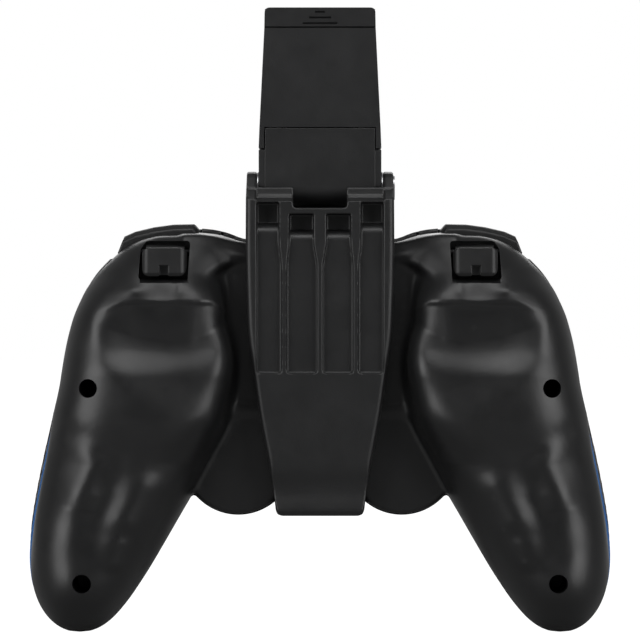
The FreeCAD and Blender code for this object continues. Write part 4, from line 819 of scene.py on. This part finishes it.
# how the back's upper end runs forward under the holder's foot
BAND_RAMP = (
    (BAND_BACK, 113.6), (-14.4, 113.9), (-13.2, 114.5), (-12.5, 115.5), (-12.2, 117.4), (-10.8, 117.4),
)
BAND_OUTSIDE = ((BAND_BACK, BAND_LOW), *BAND_RAMP, (-10.8, 104.7), (16.2, 104.7), (16.2, BAND_LOW))
BAND_DIP = (37.6, 4.2, 1.2)  # soft dip across the back near the lower end: height, half width, depth
BAND_CORNER = 0.5  # how far the lower corners are cut off
BAND_MOUTH_Z = (38.0, 94.0)
BAND_FRONT = 12.8  # the band's front wall lies before this depth
BAND_HOOK = (7.4, 39.0)  # half width and upper edge of the lower hook
POD_GAP = 0.3
POD_GAP_BACK = -10.0
CHEEK_IN = 16.8
CHEEK = (
    (BAND_BACK, 101.5), (BAND_BACK, 114.1), (-6.94, 120.18), (-5.6, 121.3), (-3.5, 121.9), (-1.4, 121.3),
    (-0.06, 120.18), (6.0, 104.7), (6.0, 101.5),
)
# each channel: its edges low down and at its pocket, and the pocket's low and high edge
BAND_CHANNELS = ((10.2, 16.6, 10.8, 16.7, 107.7, 113.3), (0.8, 8.7, 1.7, 8.1, 105.9, 110.2))
BAND_CHANNEL_LOW = 68.3
BAND_CHANNEL_DEEP = 1.3
CHANNEL_FLARE_Z = (96.0, 103.5)
POCKET_BEND = 2.6  # how far below a pocket its floor bends down
POCKET_FLOOR = -12.0
NOTCH = (7.1, 111.8, -9.8)  # half width, lower edge and front of the notch under the holder's foot
PLUG_HOLE = (6.6, -0.6, 6.6)  # half width and depths of the hole for the charging plug
PLUG_HOLE_LOW = 99.0
HINGE_BORE = 1.65
HINGE_HEAD_SEAT = (3.4, 18.9)
WASHER_RADIUS = 4.3
WASHER_BORE = 1.7
WASHER_EDGE = 0.1


def channel_field(x, y, z, left, right, pocket_left, pocket_right, low, high):
    """The space of one channel, which narrows into its pocket and bends down to the pocket's floor."""
    flare = ramp(z, *CHANNEL_FLARE_Z)
    x0, x1 = left + (pocket_left - left) * flare, right + (pocket_right - right) * flare
    shallow = BAND_BACK + BAND_CHANNEL_DEEP
    bend = np.clip((z - (low - POCKET_BEND)) / POCKET_BEND, 0, 1)
    share = np.where(z < low, 1 - np.sqrt(np.maximum(1 - bend ** 2, 0)), 1.0)
    floor = shallow + (POCKET_FLOOR - shallow) * share
    side = round_max(np.abs(x - (x0 + x1) / 2) - (x1 - x0) / 2, BAND_CHANNEL_LOW - z, 0.7)
    return round_max(side, np.maximum(y - floor, z - high), 0.25)


def strap_field(x, y, z, side, back):
    """The strap round the case, with its mouth between the hooks in front and room for the pods."""
    outside = polygon_field(BAND_OUTSIDE, y, z)
    dip_z, wide, deep = BAND_DIP
    outside = np.maximum(outside, round_max(back + deep * bump(z - dip_z, wide), BAND_LOW - z, 2.0))
    strap = round_max(outside, side, 0.5)
    strap = np.maximum(strap, round_max(back, side, 1.5))
    strap = round_max(strap, (side + BAND_LOW - z) * math.sqrt(0.5) + BAND_CORNER, 0.8)
    strap = round_max(strap, -polygon_field(BAND_INSIDE, y, z), 0.25)
    strap = round_max(strap, -np.maximum(BAND_FRONT - y, box_field(z, *BAND_MOUTH_Z)), 0.3)
    half, high = BAND_HOOK
    strap = round_max(strap, -np.maximum(np.maximum(BAND_FRONT - y, z - high), half - x), 0.3)
    pod = np.hypot(x - POD[0], z - POD[1]) - POD_RADIUS - POD_GAP
    return np.maximum(strap, -np.maximum(pod, POD_GAP_BACK - y))


def band_field(x, y, z):
    side = x - curve([p[1] for p in BAND_SIDE], [p[0] for p in BAND_SIDE], z)
    back = BAND_BACK - y
    cheek = round_max(polygon_field(CHEEK, y, z), np.maximum(side, CHEEK_IN - x), 0.5)
    cheek = np.maximum(cheek, round_max(back, side, 1.5))
    body = np.minimum(strap_field(x, y, z, side, back), cheek)
    for sizes in BAND_CHANNELS:
        body = round_max(body, -channel_field(x, y, z, *sizes), 0.3)
    half, low, deep = NOTCH
    body = round_max(body, -round_max(round_max(x - half, low - z, 1.0), y - deep, 0.2), 0.3)
    half, y0, y1 = PLUG_HOLE
    plug = round_max(x - half, box_field(y, y0, y1), 1.0)
    return round_max(body, -np.maximum(plug, PLUG_HOLE_LOW - z), 0.25)


def make_band():
    step = 0.3
    band = field_object("clip_band_skin", band_field, (0, -18, 29), (21, 18, 124), step)
    radius, seat = HINGE_HEAD_SEAT
    tools = [rod("bore", HINGE, HINGE_BORE, -FAR, FAR, "x"),
             rod("head", HINGE, radius, seat, FAR, "x")]
    return smooth(cut_all(band, tools), 45)


def make_washer(node):
    """The washer between a cheek and the holder's ear, as wide as the frame's own."""
    low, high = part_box(node)
    x0, x1 = low[0] / MM, high[0] / MM
    r, e = WASHER_RADIUS, WASHER_EDGE
    profile = [(WASHER_BORE, x0), (r - e, x0), (r, x0 + e), (r, x1 - e), (r - e, x1), (WASHER_BORE, x1)]
    return smooth(lathe(node + "_skin", profile, HINGE, "x", 72))


place(make_band(), "case", "clip_band")
for name, side in SIDES:
    place(make_washer(name + "_hinge_washer"), "case", name + "_hinge_washer")


# Shoulder buttons and triggers

BUMPER_TOP = ((52.2, 104.6), (49.3, 105.9), (44.2, 107.1), (39.0, 107.8), (33.5, 107.9), (32.2, 106.4))
BUMPER_LINE = ((54.0, 99.95), *BUMPER_TOP, (31.9, 100.4))
BUMPER_Y = (-5.2, 9.2)
BUMPER_SLANT = (1.9, 1.4)  # depth and height of the slanted edge behind
# the inner end's slanted corner: its place in x, cut, height and lean, and the share that is distance
BUMPER_END = (31.9, 1.3, 105.5, 0.55, 0.62)
PLUNGER = ((47.3, 50.1), (-3.2, 0.2), (97.9, 101.0))
TRIGGER_X = (35.1, 46.7)
TRIGGER_SIDE = (
    (-12.0, 101.4), (-19.5, 101.2), (-20.4, 94.6), (-20.0, 93.7), (-12.0, 95.4), (-9.4, 95.2), (-9.4, 100.2),
)
TRIGGER_SHRINK = 0.35  # how much smaller it is than these sizes, before its edges are rounded
TRIGGER_PIN = (-10.0, 100.2)
TRIGGER_BORE = 1.15
TRIGGER_HUB = 2.0
TRIGGER_HUB_IN = 0.6  # how much narrower the hub is on each side
TRIGGER_NOTCH = (39.75, 42.15, 96.5, -18.6)
TAB = ((39.5, 42.3), (-11.0, -6.0), (95.2, 96.8))


def bumper_field(x, y, z):
    back, front = BUMPER_Y
    top = np.interp(x, *zip(*sorted(BUMPER_TOP)))
    deep, high = BUMPER_SLANT
    slant = ((z - top + high) * deep - (y - back) * high) / math.hypot(deep, high)
    at_x, cut, at_z, lean, share = BUMPER_END
    end = (at_x - x + cut - (y - back) + lean * (z - at_z)) * share
    body = round_max(polygon_field(BUMPER_LINE, x, z), box_field(y, back, front), 0.45)
    body = round_max(round_max(body, slant, 0.35), end, 0.35)
    body = np.maximum(body, round_max(z - top, y - front, 3.0))
    return np.minimum(body, block_field(x, y, z, PLUNGER))


def trigger_field(x, y, z):
    wide = box_field(x, *TRIGGER_X)
    from_pin = np.hypot(y - TRIGGER_PIN[0], z - TRIGGER_PIN[1])
    shape = polygon_field(TRIGGER_SIDE, y, z)
    body = round_max(shape + TRIGGER_SHRINK, wide + TRIGGER_SHRINK, 1.5) - TRIGGER_SHRINK
    body = np.minimum(body, round_max(from_pin - TRIGGER_HUB, wide + TRIGGER_HUB_IN, 0.3))
    x0, x1, top, floor = TRIGGER_NOTCH
    notch = np.maximum(np.maximum(box_field(x, x0, x1), z - top), y - floor)
    body = np.minimum(round_max(body, -notch, 0.15), block_field(x, y, z, TAB))
    return np.maximum(body, TRIGGER_BORE - from_pin)


for node, field, low, high, step in (
    ("bumper", bumper_field, (30, -7, 96), (56, 11, 110), 0.2),
    ("trigger", trigger_field, (34, -22, 92), (48, -4, 104), 0.15),
):
    on_both_sides(node, field_object("left_%s_skin" % node, field, low, high, step, whole=False), 45)


# Phone arm

ARM_Y = (-8.5, 0.5)
JAW_TOP = 165.3
JAW_SIDE = ((16.3, 127.9), (16.1, 133.2), (14.8, 159.8), (14.7, JAW_TOP))
JAW_RADII = (0.2, 0, 0, 1.4)  # of the outline's corners on one side, from below
JAW_STEP = (159.8, 0.4)  # height and depth of the step in the back
JAW_LIP = (
    (-3.5, 160.8), (11.2, 160.8), (11.2, 158.4), (13.0, 158.4), (13.0, 164.3), (12.0, JAW_TOP),
    (-3.5, JAW_TOP),
)
JAW_ROOM = (14.85, 133.5)  # half width and top of the room for the foot
JAW_WIDE = 20.0  # farther than the jaw from the middle
JAW_LOW = 120.0  # below the whole jaw
SLEEVE_ROOM = ((-10.2, 10.2), (-6.6, -1.4), (JAW_LOW, 159.5))
# thin rails that close the slits beside the foot, and what holds them to the jaw's sides
KEEPER_X = (13.9, 15.9)
KEEPER_Y = (0.62, 1.1)
KEEPER_Z = (126.9, 136.0)
KEEPER_IN = 0.5  # how deep the rail stands in the jaw above the room
HOLD = (
    (JAW_ROOM[0] + 0.2, KEEPER_X[1]), (KEEPER_Y[0] - 0.4, KEEPER_Y[1] - 0.1),
    (KEEPER_Z[0] + 1.2, KEEPER_Z[1] - 0.5),
)
PULL_MARKS = ((1.3, 163.9), (2.9, 162.4), (4.6, 160.9))
CUT_LINE = 0.55  # height and depth of a cut line whose floor faces down


def softened(node, body, width, segments=3, angle=28, flat=0.5):
    """A new piece of a node's shape whose sharp edges are rounded as a mould leaves them."""
    mesh = bpy.data.objects[node].data.copy()
    obj = linked(bpy.data.objects.new(node + "_skin", mesh))

    def join_flat(bm):
        bmesh.ops.dissolve_limit(bm, angle_limit=math.radians(flat), verts=bm.verts, edges=bm.edges)

    edit(mesh, weld(1e-6), join_flat)
    bevel(obj, width, segments, angle)
    return place(flat_faces(obj, 35), body, node)


def cut_line(face, z, half_wide):
    wedge = [(face - 0.05, z + CUT_LINE), (face + CUT_LINE, z), (face - 0.05, z)]
    return prism("line", wedge, -half_wide, half_wide, "x")


def make_jaw():
    outline = [(-x, z) for x, z in JAW_SIDE] + [(x, z) for x, z in JAW_SIDE[::-1]]
    jaw = prism("phone_jaw_skin", round_outline(outline, JAW_RADII + JAW_RADII[::-1]), *ARM_Y)
    low, deep = JAW_STEP
    half = JAW_SIDE[-1][0]
    boolean(jaw, prism("lip", JAW_LIP, -half, half, "x"), "UNION")
    (back, front), (room, room_top) = ARM_Y, JAW_ROOM
    boolean(jaw, [block("step", ((-JAW_WIDE, JAW_WIDE), (back - 1, back + deep), (low, JAW_TOP + 5))),
                  block("room", ((-room, room), (back - 1, front + 1), (JAW_LOW, room_top))),
                  block("sleeve", SLEEVE_ROOM)])
    bevel(jaw, 0.3, 3, 28)
    for half_wide, z in (*PULL_MARKS, (JAW_WIDE, low)):
        boolean(jaw, cut_line(back + deep, z, half_wide))
    (y0, y1), (z0, z1) = KEEPER_Y, KEEPER_Z
    inner = y0 - KEEPER_IN
    rail = [(y0, z0), (y1, z0), (y1, z1), (inner, z1), (inner, room_top + 0.2), (y0, room_top + 0.2)]
    for side in (LEFT, RIGHT):
        x0, x1 = sorted(side * x for x in KEEPER_X)
        boolean(jaw, prism("keeper", rail, x0, x1, "x"), "UNION")
        boolean(jaw, block("hold", HOLD, side), "UNION")
    return flat_faces(jaw, 35)


place(make_jaw(), "jaw", "phone_jaw")
softened("arm_base", "phone_arm", 0.3)
softened("slide_sleeve", "sleeve", 0.2)


# Thumb sticks

DOME_RADIUS = 11.6
DOME_WALL = 1.0
DOME_SKIRT = 78  # degrees from the stick's axis
DOME_NECK = 22
STEM_BORE = 1.55
STEM_TOP = 2.2  # how far the stem's bore reaches above the cap's underside
NECK_RADIUS = 3.4
# the neck's waist: more than its radius, and depth
NECK = ((0.25, 17.0), (0.0, 18.2), (0.0, 20.0), (0.6, 21.0))
CAP = (9.0, 21.6, 25.8)  # radius, underside and top
# the cap's edges: less than its radius, and depth above the underside or below the top
CAP_UNDER = ((1.6, 0.0), (0.7, 0.35), (0.15, 0.9), (0.0, 1.2))
CAP_OVER = ((0.0, 1.4), (0.1, 0.9), (0.45, 0.3), (1.0, 0.0))
CAP_SEAT = ((0.25, 0.0), (0.1, 0.15), (0.1, 0.6))  # more than the disc's radius, and depth below the top
TOP_DISC = (7.4, 25.3, 26.5)
TOP_DISH = (1.3, 0.7)  # width of the disc's rim and depth of its dish
KNURLS = 48
KNURL_DEPTH = 0.028  # share of the radius


def arc(radius, centre, start, end, steps):
    """Points (radius from the axis, depth) on an arc about a point of the axis; angles from the axis."""
    angles = [math.radians(start + (end - start) * k / steps) for k in range(steps + 1)]
    return [(radius * math.sin(a), centre + radius * math.cos(a)) for a in angles]


def stick_cap(side, name):
    radius, under, top = CAP
    bore_angle = math.degrees(math.asin(STEM_BORE / DOME_RADIUS))
    profile = [(0, under + STEM_TOP), (STEM_BORE, under + STEM_TOP)]
    profile += arc(DOME_RADIUS - DOME_WALL, PIVOT_Y, bore_angle, DOME_SKIRT, 14)
    profile += arc(DOME_RADIUS, PIVOT_Y, DOME_SKIRT, DOME_NECK, 16)
    profile += [(NECK_RADIUS + more, y) for more, y in NECK] + [(NECK_RADIUS + 2.2, under)]
    profile += [(radius - less, under + y) for less, y in CAP_UNDER]
    profile += [(radius - less, top - y) for less, y in CAP_OVER]
    profile += [(TOP_DISC[0] + more, top - y) for more, y in CAP_SEAT] + [(0, top - CAP_SEAT[-1][1])]
    x, z = side * POD[0], POD[1]
    obj = lathe(name, profile, (x, z), steps=KNURLS * 4)
    for v in obj.data.vertices:
        dx, dz, y = v.co.x / MM - x, v.co.z / MM - z, v.co.y / MM
        if math.hypot(dx, dz) > radius - 0.02 and under + 1.0 < y < top - 1.2:
            share = 1 - KNURL_DEPTH * (0.5 + 0.5 * math.cos(KNURLS * math.atan2(dz, dx)))
            v.co.x, v.co.z = (x + dx * share) * MM, (z + dz * share) * MM
    return smooth(obj, 40)


def stick_top(side, name):
    radius, low, top = TOP_DISC
    rim, deep = TOP_DISH
    dish = [(r, top - deep * (1 - (r / (radius - rim)) ** 2)) for r in np.linspace(radius - rim, 0, 8)]
    profile = [(0, low), (radius, low), (radius, top - 0.5), (radius - 0.15, top - 0.15), (radius - 0.5, top)]
    return smooth(lathe(name, profile + dish, (side * POD[0], POD[1]), steps=96), 50)


for name, side in SIDES:
    place(stick_cap(side, name + "_stick_cap_skin"), name + "_stick", name + "_stick_cap")
    place(stick_top(side, name + "_stick_top_skin"), name + "_stick", name + "_stick_top")


# Materials: every one is made of nodes

MIX_A, MIX_B, MIXED = 6, 7, 2  # the numbers of a colour mix's two inputs and its output
WORN_AND_HIGHLIT_EDGES = (0.505, 0.56)  # how pointed an edge must be for its lighter tone, partly rubbed wear and partly a painted highlight, a little and fully


class Nodes:
    """A small helper round one node tree."""

    def __init__(self, owner):
        owner.use_nodes = True
        self.tree = owner.node_tree
        self.tree.nodes.clear()

    def node(self, kind, **settings):
        n = self.tree.nodes.new(kind)
        for key, value in settings.items():
            if hasattr(n, key):
                setattr(n, key, value)
            else:
                n.inputs[key].default_value = value
        return n

    def link(self, source, output, target, name):
        self.tree.links.new(source.outputs[output], target.inputs[name])

    def spread(self, source, output, low, high, start=0.3, end=0.7):
        """A value that runs from low to high while the source runs from start to end."""
        n = self.node("ShaderNodeMapRange")
        for key, value in (("From Min", start), ("From Max", end), ("To Min", low), ("To Max", high)):
            n.inputs[key].default_value = value
        self.link(source, output, n, "Value")
        return n

    def show_either(self, share, output, first, second, kind):
        """Joins a mix of two shaders to the tree's output."""
        both = self.node("ShaderNodeMixShader")
        self.link(share, output, both, 0)
        self.link(first, 0, both, 1)
        self.link(second, 0, both, 2)
        self.link(both, 0, self.node(kind), "Surface")


class Shader(Nodes):
    """A material with one principled surface."""

    def __init__(self, name):
        self.material = bpy.data.materials.new(name)
        super().__init__(self.material)
        self.surface = self.node("ShaderNodeBsdfPrincipled")
        self.link(self.surface, 0, self.node("ShaderNodeOutputMaterial"), "Surface")
        self.place = self.node("ShaderNodeTexCoord")

    def noise(self, scale, detail=3.0, roughness=0.5, distortion=0.0):
        n = self.node("ShaderNodeTexNoise",
                      Scale=scale, Detail=detail, Roughness=roughness, Distortion=distortion)
        self.link(self.place, "Object", n, "Vector")
        return n

    def mix(self, factor, a, b):
        n = self.node("ShaderNodeMix", data_type="RGBA")
        n.inputs[MIX_A].default_value = (*a, 1)
        n.inputs[MIX_B].default_value = (*b, 1)
        self.link(factor, 0, n, 0)
        return n

    def tone(self, source, a, b):
        return self.mix(self.spread(source, "Fac", 0.0, 1.0), a, b)

    def bump(self, source, output, strength, distance, before=None):
        n = self.node("ShaderNodeBump", Strength=strength, Distance=distance)
        self.link(source, output, n, "Height")
        if before:
            self.link(before, "Normal", n, "Normal")
        return n

    def finished(self, tone, rough, relief=None):
        """The material, with its colour, roughness and relief joined to its surface."""
        self.link(tone, MIXED, self.surface, "Base Color")
        self.link(rough, 0, self.surface, "Roughness")
        if relief:
            self.link(relief, "Normal", self.surface, "Normal")
        return self.material


def moulded(name, dark, light, rough, grain, depth, wear_and_highlight=0.25):
    """Injection-moulded plastic: spark-eroded grain, faint flow marks, and lighter edges that are partly
    rubbed wear and partly a painted highlight.
    """
    s = Shader(name)
    flow = s.noise(38.0, detail=5.0, roughness=0.6, distortion=0.4)
    smudge = s.noise(110.0, detail=6.0, roughness=0.7)
    fine = s.noise(grain, detail=2.0, roughness=0.6)
    # painted highlight: edges that stick out get a lighter colour, standing partly for light caught on
    # rounded edges and partly for wear
    rubbed_and_highlit = s.spread(s.node("ShaderNodeNewGeometry"), "Pointiness", 0.0, wear_and_highlight, *WORN_AND_HIGHLIT_EDGES)
    tone = s.tone(flow, dark, light)
    wear_and_highlight_colour = tuple(min(1.0, c * 2.2 + 0.004) for c in light)
    wear_and_highlight_tone = s.mix(rubbed_and_highlit, dark, wear_and_highlight_colour)
    s.link(tone, MIXED, wear_and_highlight_tone, MIX_A)
    wave = s.bump(flow, "Fac", 0.12, 0.0004)
    return s.finished(wear_and_highlight_tone, s.spread(smudge, "Fac", rough - 0.05, rough + 0.06),
                      s.bump(fine, "Fac", depth, 0.00006, wave))


def rubber(name, dark, light):
    s = Shader(name)
    dust = s.noise(300.0, detail=6.0, roughness=0.7)
    fine = s.noise(5200.0, detail=2.0)
    return s.finished(s.tone(dust, dark, light),
                      s.spread(dust, "Fac", 0.62, 0.8), s.bump(fine, "Fac", 0.5, 0.00005))


def steel(name, colour, other, rough):
    s = Shader(name)
    stretch = s.node("ShaderNodeMapping", Scale=(1.0, 0.08, 1.0))
    s.link(s.place, "Object", stretch, "Vector")
    lines = s.node("ShaderNodeTexNoise", Scale=2600.0, Detail=3.0)
    s.link(stretch, 0, lines, "Vector")
    tint = s.noise(240.0, detail=4.0)
    s.surface.inputs["Metallic"].default_value = 1.0
    return s.finished(s.tone(tint, colour, other),
                      s.spread(lines, "Fac", rough - 0.08, rough + 0.1), s.bump(lines, "Fac", 0.2, 0.00002))


def board(name):
    """Solder mask over copper tracks."""
    s = Shader(name)
    cells = s.node("ShaderNodeTexVoronoi", distance="MANHATTAN", Scale=420.0)
    s.link(s.place, "Object", cells, "Vector")
    tracks = s.spread(cells, "Distance", 0.0, 1.0, 0.25, 0.4)
    return s.finished(s.mix(tracks, (0.012, 0.11, 0.035), (0.02, 0.2, 0.07)),
                      s.spread(s.noise(900.0), "Fac", 0.28, 0.4), s.bump(cells, "Distance", 0.3, 0.00004))


def foil(name):
    """The cell's foil pouch, slightly creased."""
    s = Shader(name)
    crease = s.noise(160.0, detail=6.0, roughness=0.65, distortion=1.2)
    s.surface.inputs["Metallic"].default_value = 0.6
    return s.finished(s.tone(crease, (0.28, 0.3, 0.33), (0.4, 0.42, 0.45)),
                      s.spread(crease, "Fac", 0.3, 0.5), s.bump(crease, "Fac", 0.35, 0.0002))


def clear(name):
    s = Shader(name)
    haze = s.noise(700.0)
    s.surface.inputs["Transmission Weight"].default_value = 0.6
    return s.finished(s.tone(haze, (0.78, 0.81, 0.85), (0.9, 0.92, 0.95)),
                      s.spread(haze, "Fac", 0.12, 0.24))


def wear(mesh, material):
    """The mesh in one material alone."""
    mesh.materials.clear()
    mesh.materials.append(material)


# for the moulded ones: darker and lighter tone, roughness, scale and depth of the grain, and how much lighter
# the edges are (partly wear, partly painted highlight)
SLOTS = {name: make(name, *looks) for name, make, *looks in (
    ("shell_black", moulded, (0.0078, 0.0079, 0.0082), (0.0112, 0.0113, 0.0117), 0.36, 3600.0, 0.22),
    ("clip_black", moulded, (0.0092, 0.0094, 0.0098), (0.0134, 0.0136, 0.014), 0.42, 3200.0, 0.3, 0.08),
    ("button_black", moulded, (0.0052, 0.0053, 0.0055), (0.0078, 0.0079, 0.0082), 0.45, 4200.0, 0.12),
    ("trim_blue", moulded, (0.045, 0.15, 0.42), (0.07, 0.21, 0.52), 0.33, 4000.0, 0.12, 0.1),
    ("rubber_dark", rubber, (0.012, 0.012, 0.0125), (0.022, 0.022, 0.0225)),
    ("steel", steel, (0.5, 0.5, 0.52), (0.62, 0.62, 0.63), 0.34),
    ("inner_plastic", moulded, (0.42, 0.42, 0.4), (0.52, 0.52, 0.5), 0.45, 2600.0, 0.2, 0.05),
    ("board_green", board),
    ("cell_wrap", foil),
    ("pipe_clear", clear),
)}
NODE_SLOT = {row["node"]: row["material_slot"] for row in frame["record"]["subparts"]}
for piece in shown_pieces():
    node = piece.name.removesuffix("_skin")
    slot = NODE_SLOT[node]
    wear(piece.data, SLOTS[slot])
BLACK_PARTS = ("case_screws", "left_trigger_pin", "right_trigger_pin")
BLACKENED = steel("black_steel", (0.02, 0.02, 0.021), (0.035, 0.035, 0.036), 0.5)
for node, slot in NODE_SLOT.items():
    wear(bpy.data.objects[node].data, BLACKENED if node in BLACK_PARTS else SLOTS[slot])


# Camera, floor and light

SENSOR = 36.0  # width of the camera's sensor
CAMERA_SIGHT = 50  # metres
FLOOR_Z = -0.6
FLOOR_RADIUS = 6.0  # metres
FLOOR_GREY = (0.3, 0.3, 0.3, 1)
FLOOR_GLOW = 1.3
FLOOR_SEEN = 0.85  # how much of its glow the camera sees
FLOOR_FAR = (0.0, 0.45, 0.1, 0.6)  # how much it glows for all else, and between which depths in metres
ROOM_LEVEL = (0.06, 0.3, -0.2, 0.9)  # brightness of the room's front and back wall, and where they begin
WHITE = (1, 1, 1, 1)
LIGHT_AT = (0.0, 0.0, 80.0)
# name, place, width, height and radiance
SOFTBOXES = (
    ("top", (0, -450, 780), 620, 420, 3.3),
    ("left", (720, -560, 300), 560, 760, 3.4),
    ("right", (-720, -560, 300), 560, 760, 3.4),
    ("face", (0, 800, 520), 700, 500, 2.4),
)


def add_object(name, data, at):
    """An object at a point in millimetres."""
    obj = linked(bpy.data.objects.new(name, data))
    obj.location = Vector(at) * MM
    return obj


def add_camera():
    cam = bpy.data.cameras.new("camera")
    cam.sensor_width = SENSOR
    cam.lens = SENSOR * CAMERA_AWAY / (PHOTO_PIXELS * PIXEL)
    cam.clip_end = CAMERA_SIGHT
    obj = add_object("camera", cam, (0, -CAMERA_AWAY, (TIP_ROW - PHOTO_PIXELS / 2) * PIXEL))
    obj.rotation_euler = (math.radians(90), 0, 0)
    bpy.context.scene.camera = obj


def softbox(name, at, wide, high, radiance):
    """A square of even light of one brightness, turned to the object."""
    light = bpy.data.lights.new(name, "AREA")
    light.shape = "RECTANGLE"
    light.size, light.size_y = wide * MM, high * MM
    light.energy = radiance * math.pi * light.size * light.size_y
    way = Vector(LIGHT_AT) - Vector(at)
    add_object(name, light, at).rotation_euler = way.to_track_quat("-Z", "Y").to_euler()


def add_floor():
    """A grey disc that the camera sees nearly white, and that glows a little behind the object."""
    mesh = bpy.data.meshes.new("floor")
    edit(mesh, lambda bm: bmesh.ops.create_circle(bm, cap_ends=True, segments=96, radius=FLOOR_RADIUS))
    floor = add_object("floor", mesh, (0, 0, FLOOR_Z))
    material = bpy.data.materials.new("floor")
    n = Nodes(material)
    seen = n.node("ShaderNodeMath", operation="MULTIPLY")
    seen.inputs[1].default_value = FLOOR_SEEN
    n.link(n.node("ShaderNodeLightPath"), "Is Camera Ray", seen, 0)
    split = n.node("ShaderNodeSeparateXYZ")
    n.link(n.node("ShaderNodeTexCoord"), "Object", split, 0)
    either = n.node("ShaderNodeMath", operation="MAXIMUM")
    n.link(seen, 0, either, 0)
    n.link(n.spread(split, "Y", *FLOOR_FAR), 0, either, 1)
    matt = n.node("ShaderNodeBsdfDiffuse", Color=FLOOR_GREY)
    glow = n.node("ShaderNodeEmission", Color=WHITE, Strength=FLOOR_GLOW)
    n.show_either(either, 0, matt, glow, "ShaderNodeOutputMaterial")
    mesh.materials.append(material)


def add_world():
    """White for the camera, and a dim room with a white wall behind the object for everything else."""
    world = bpy.data.worlds.new("world")
    bpy.context.scene.world = world
    n = Nodes(world)
    split = n.node("ShaderNodeSeparateXYZ")
    n.link(n.node("ShaderNodeTexCoord"), "Generated", split, 0)
    room = n.node("ShaderNodeBackground", Color=WHITE)
    n.link(n.spread(split, "Y", *ROOM_LEVEL), 0, room, "Strength")
    white = n.node("ShaderNodeBackground", Color=WHITE)
    n.show_either(n.node("ShaderNodeLightPath"), "Is Camera Ray", room, white, "ShaderNodeOutputWorld")


add_camera()
bpy.context.scene.view_settings.view_transform = "Standard"
add_floor()
add_world()
for sizes in SOFTBOXES:
    softbox(*sizes)
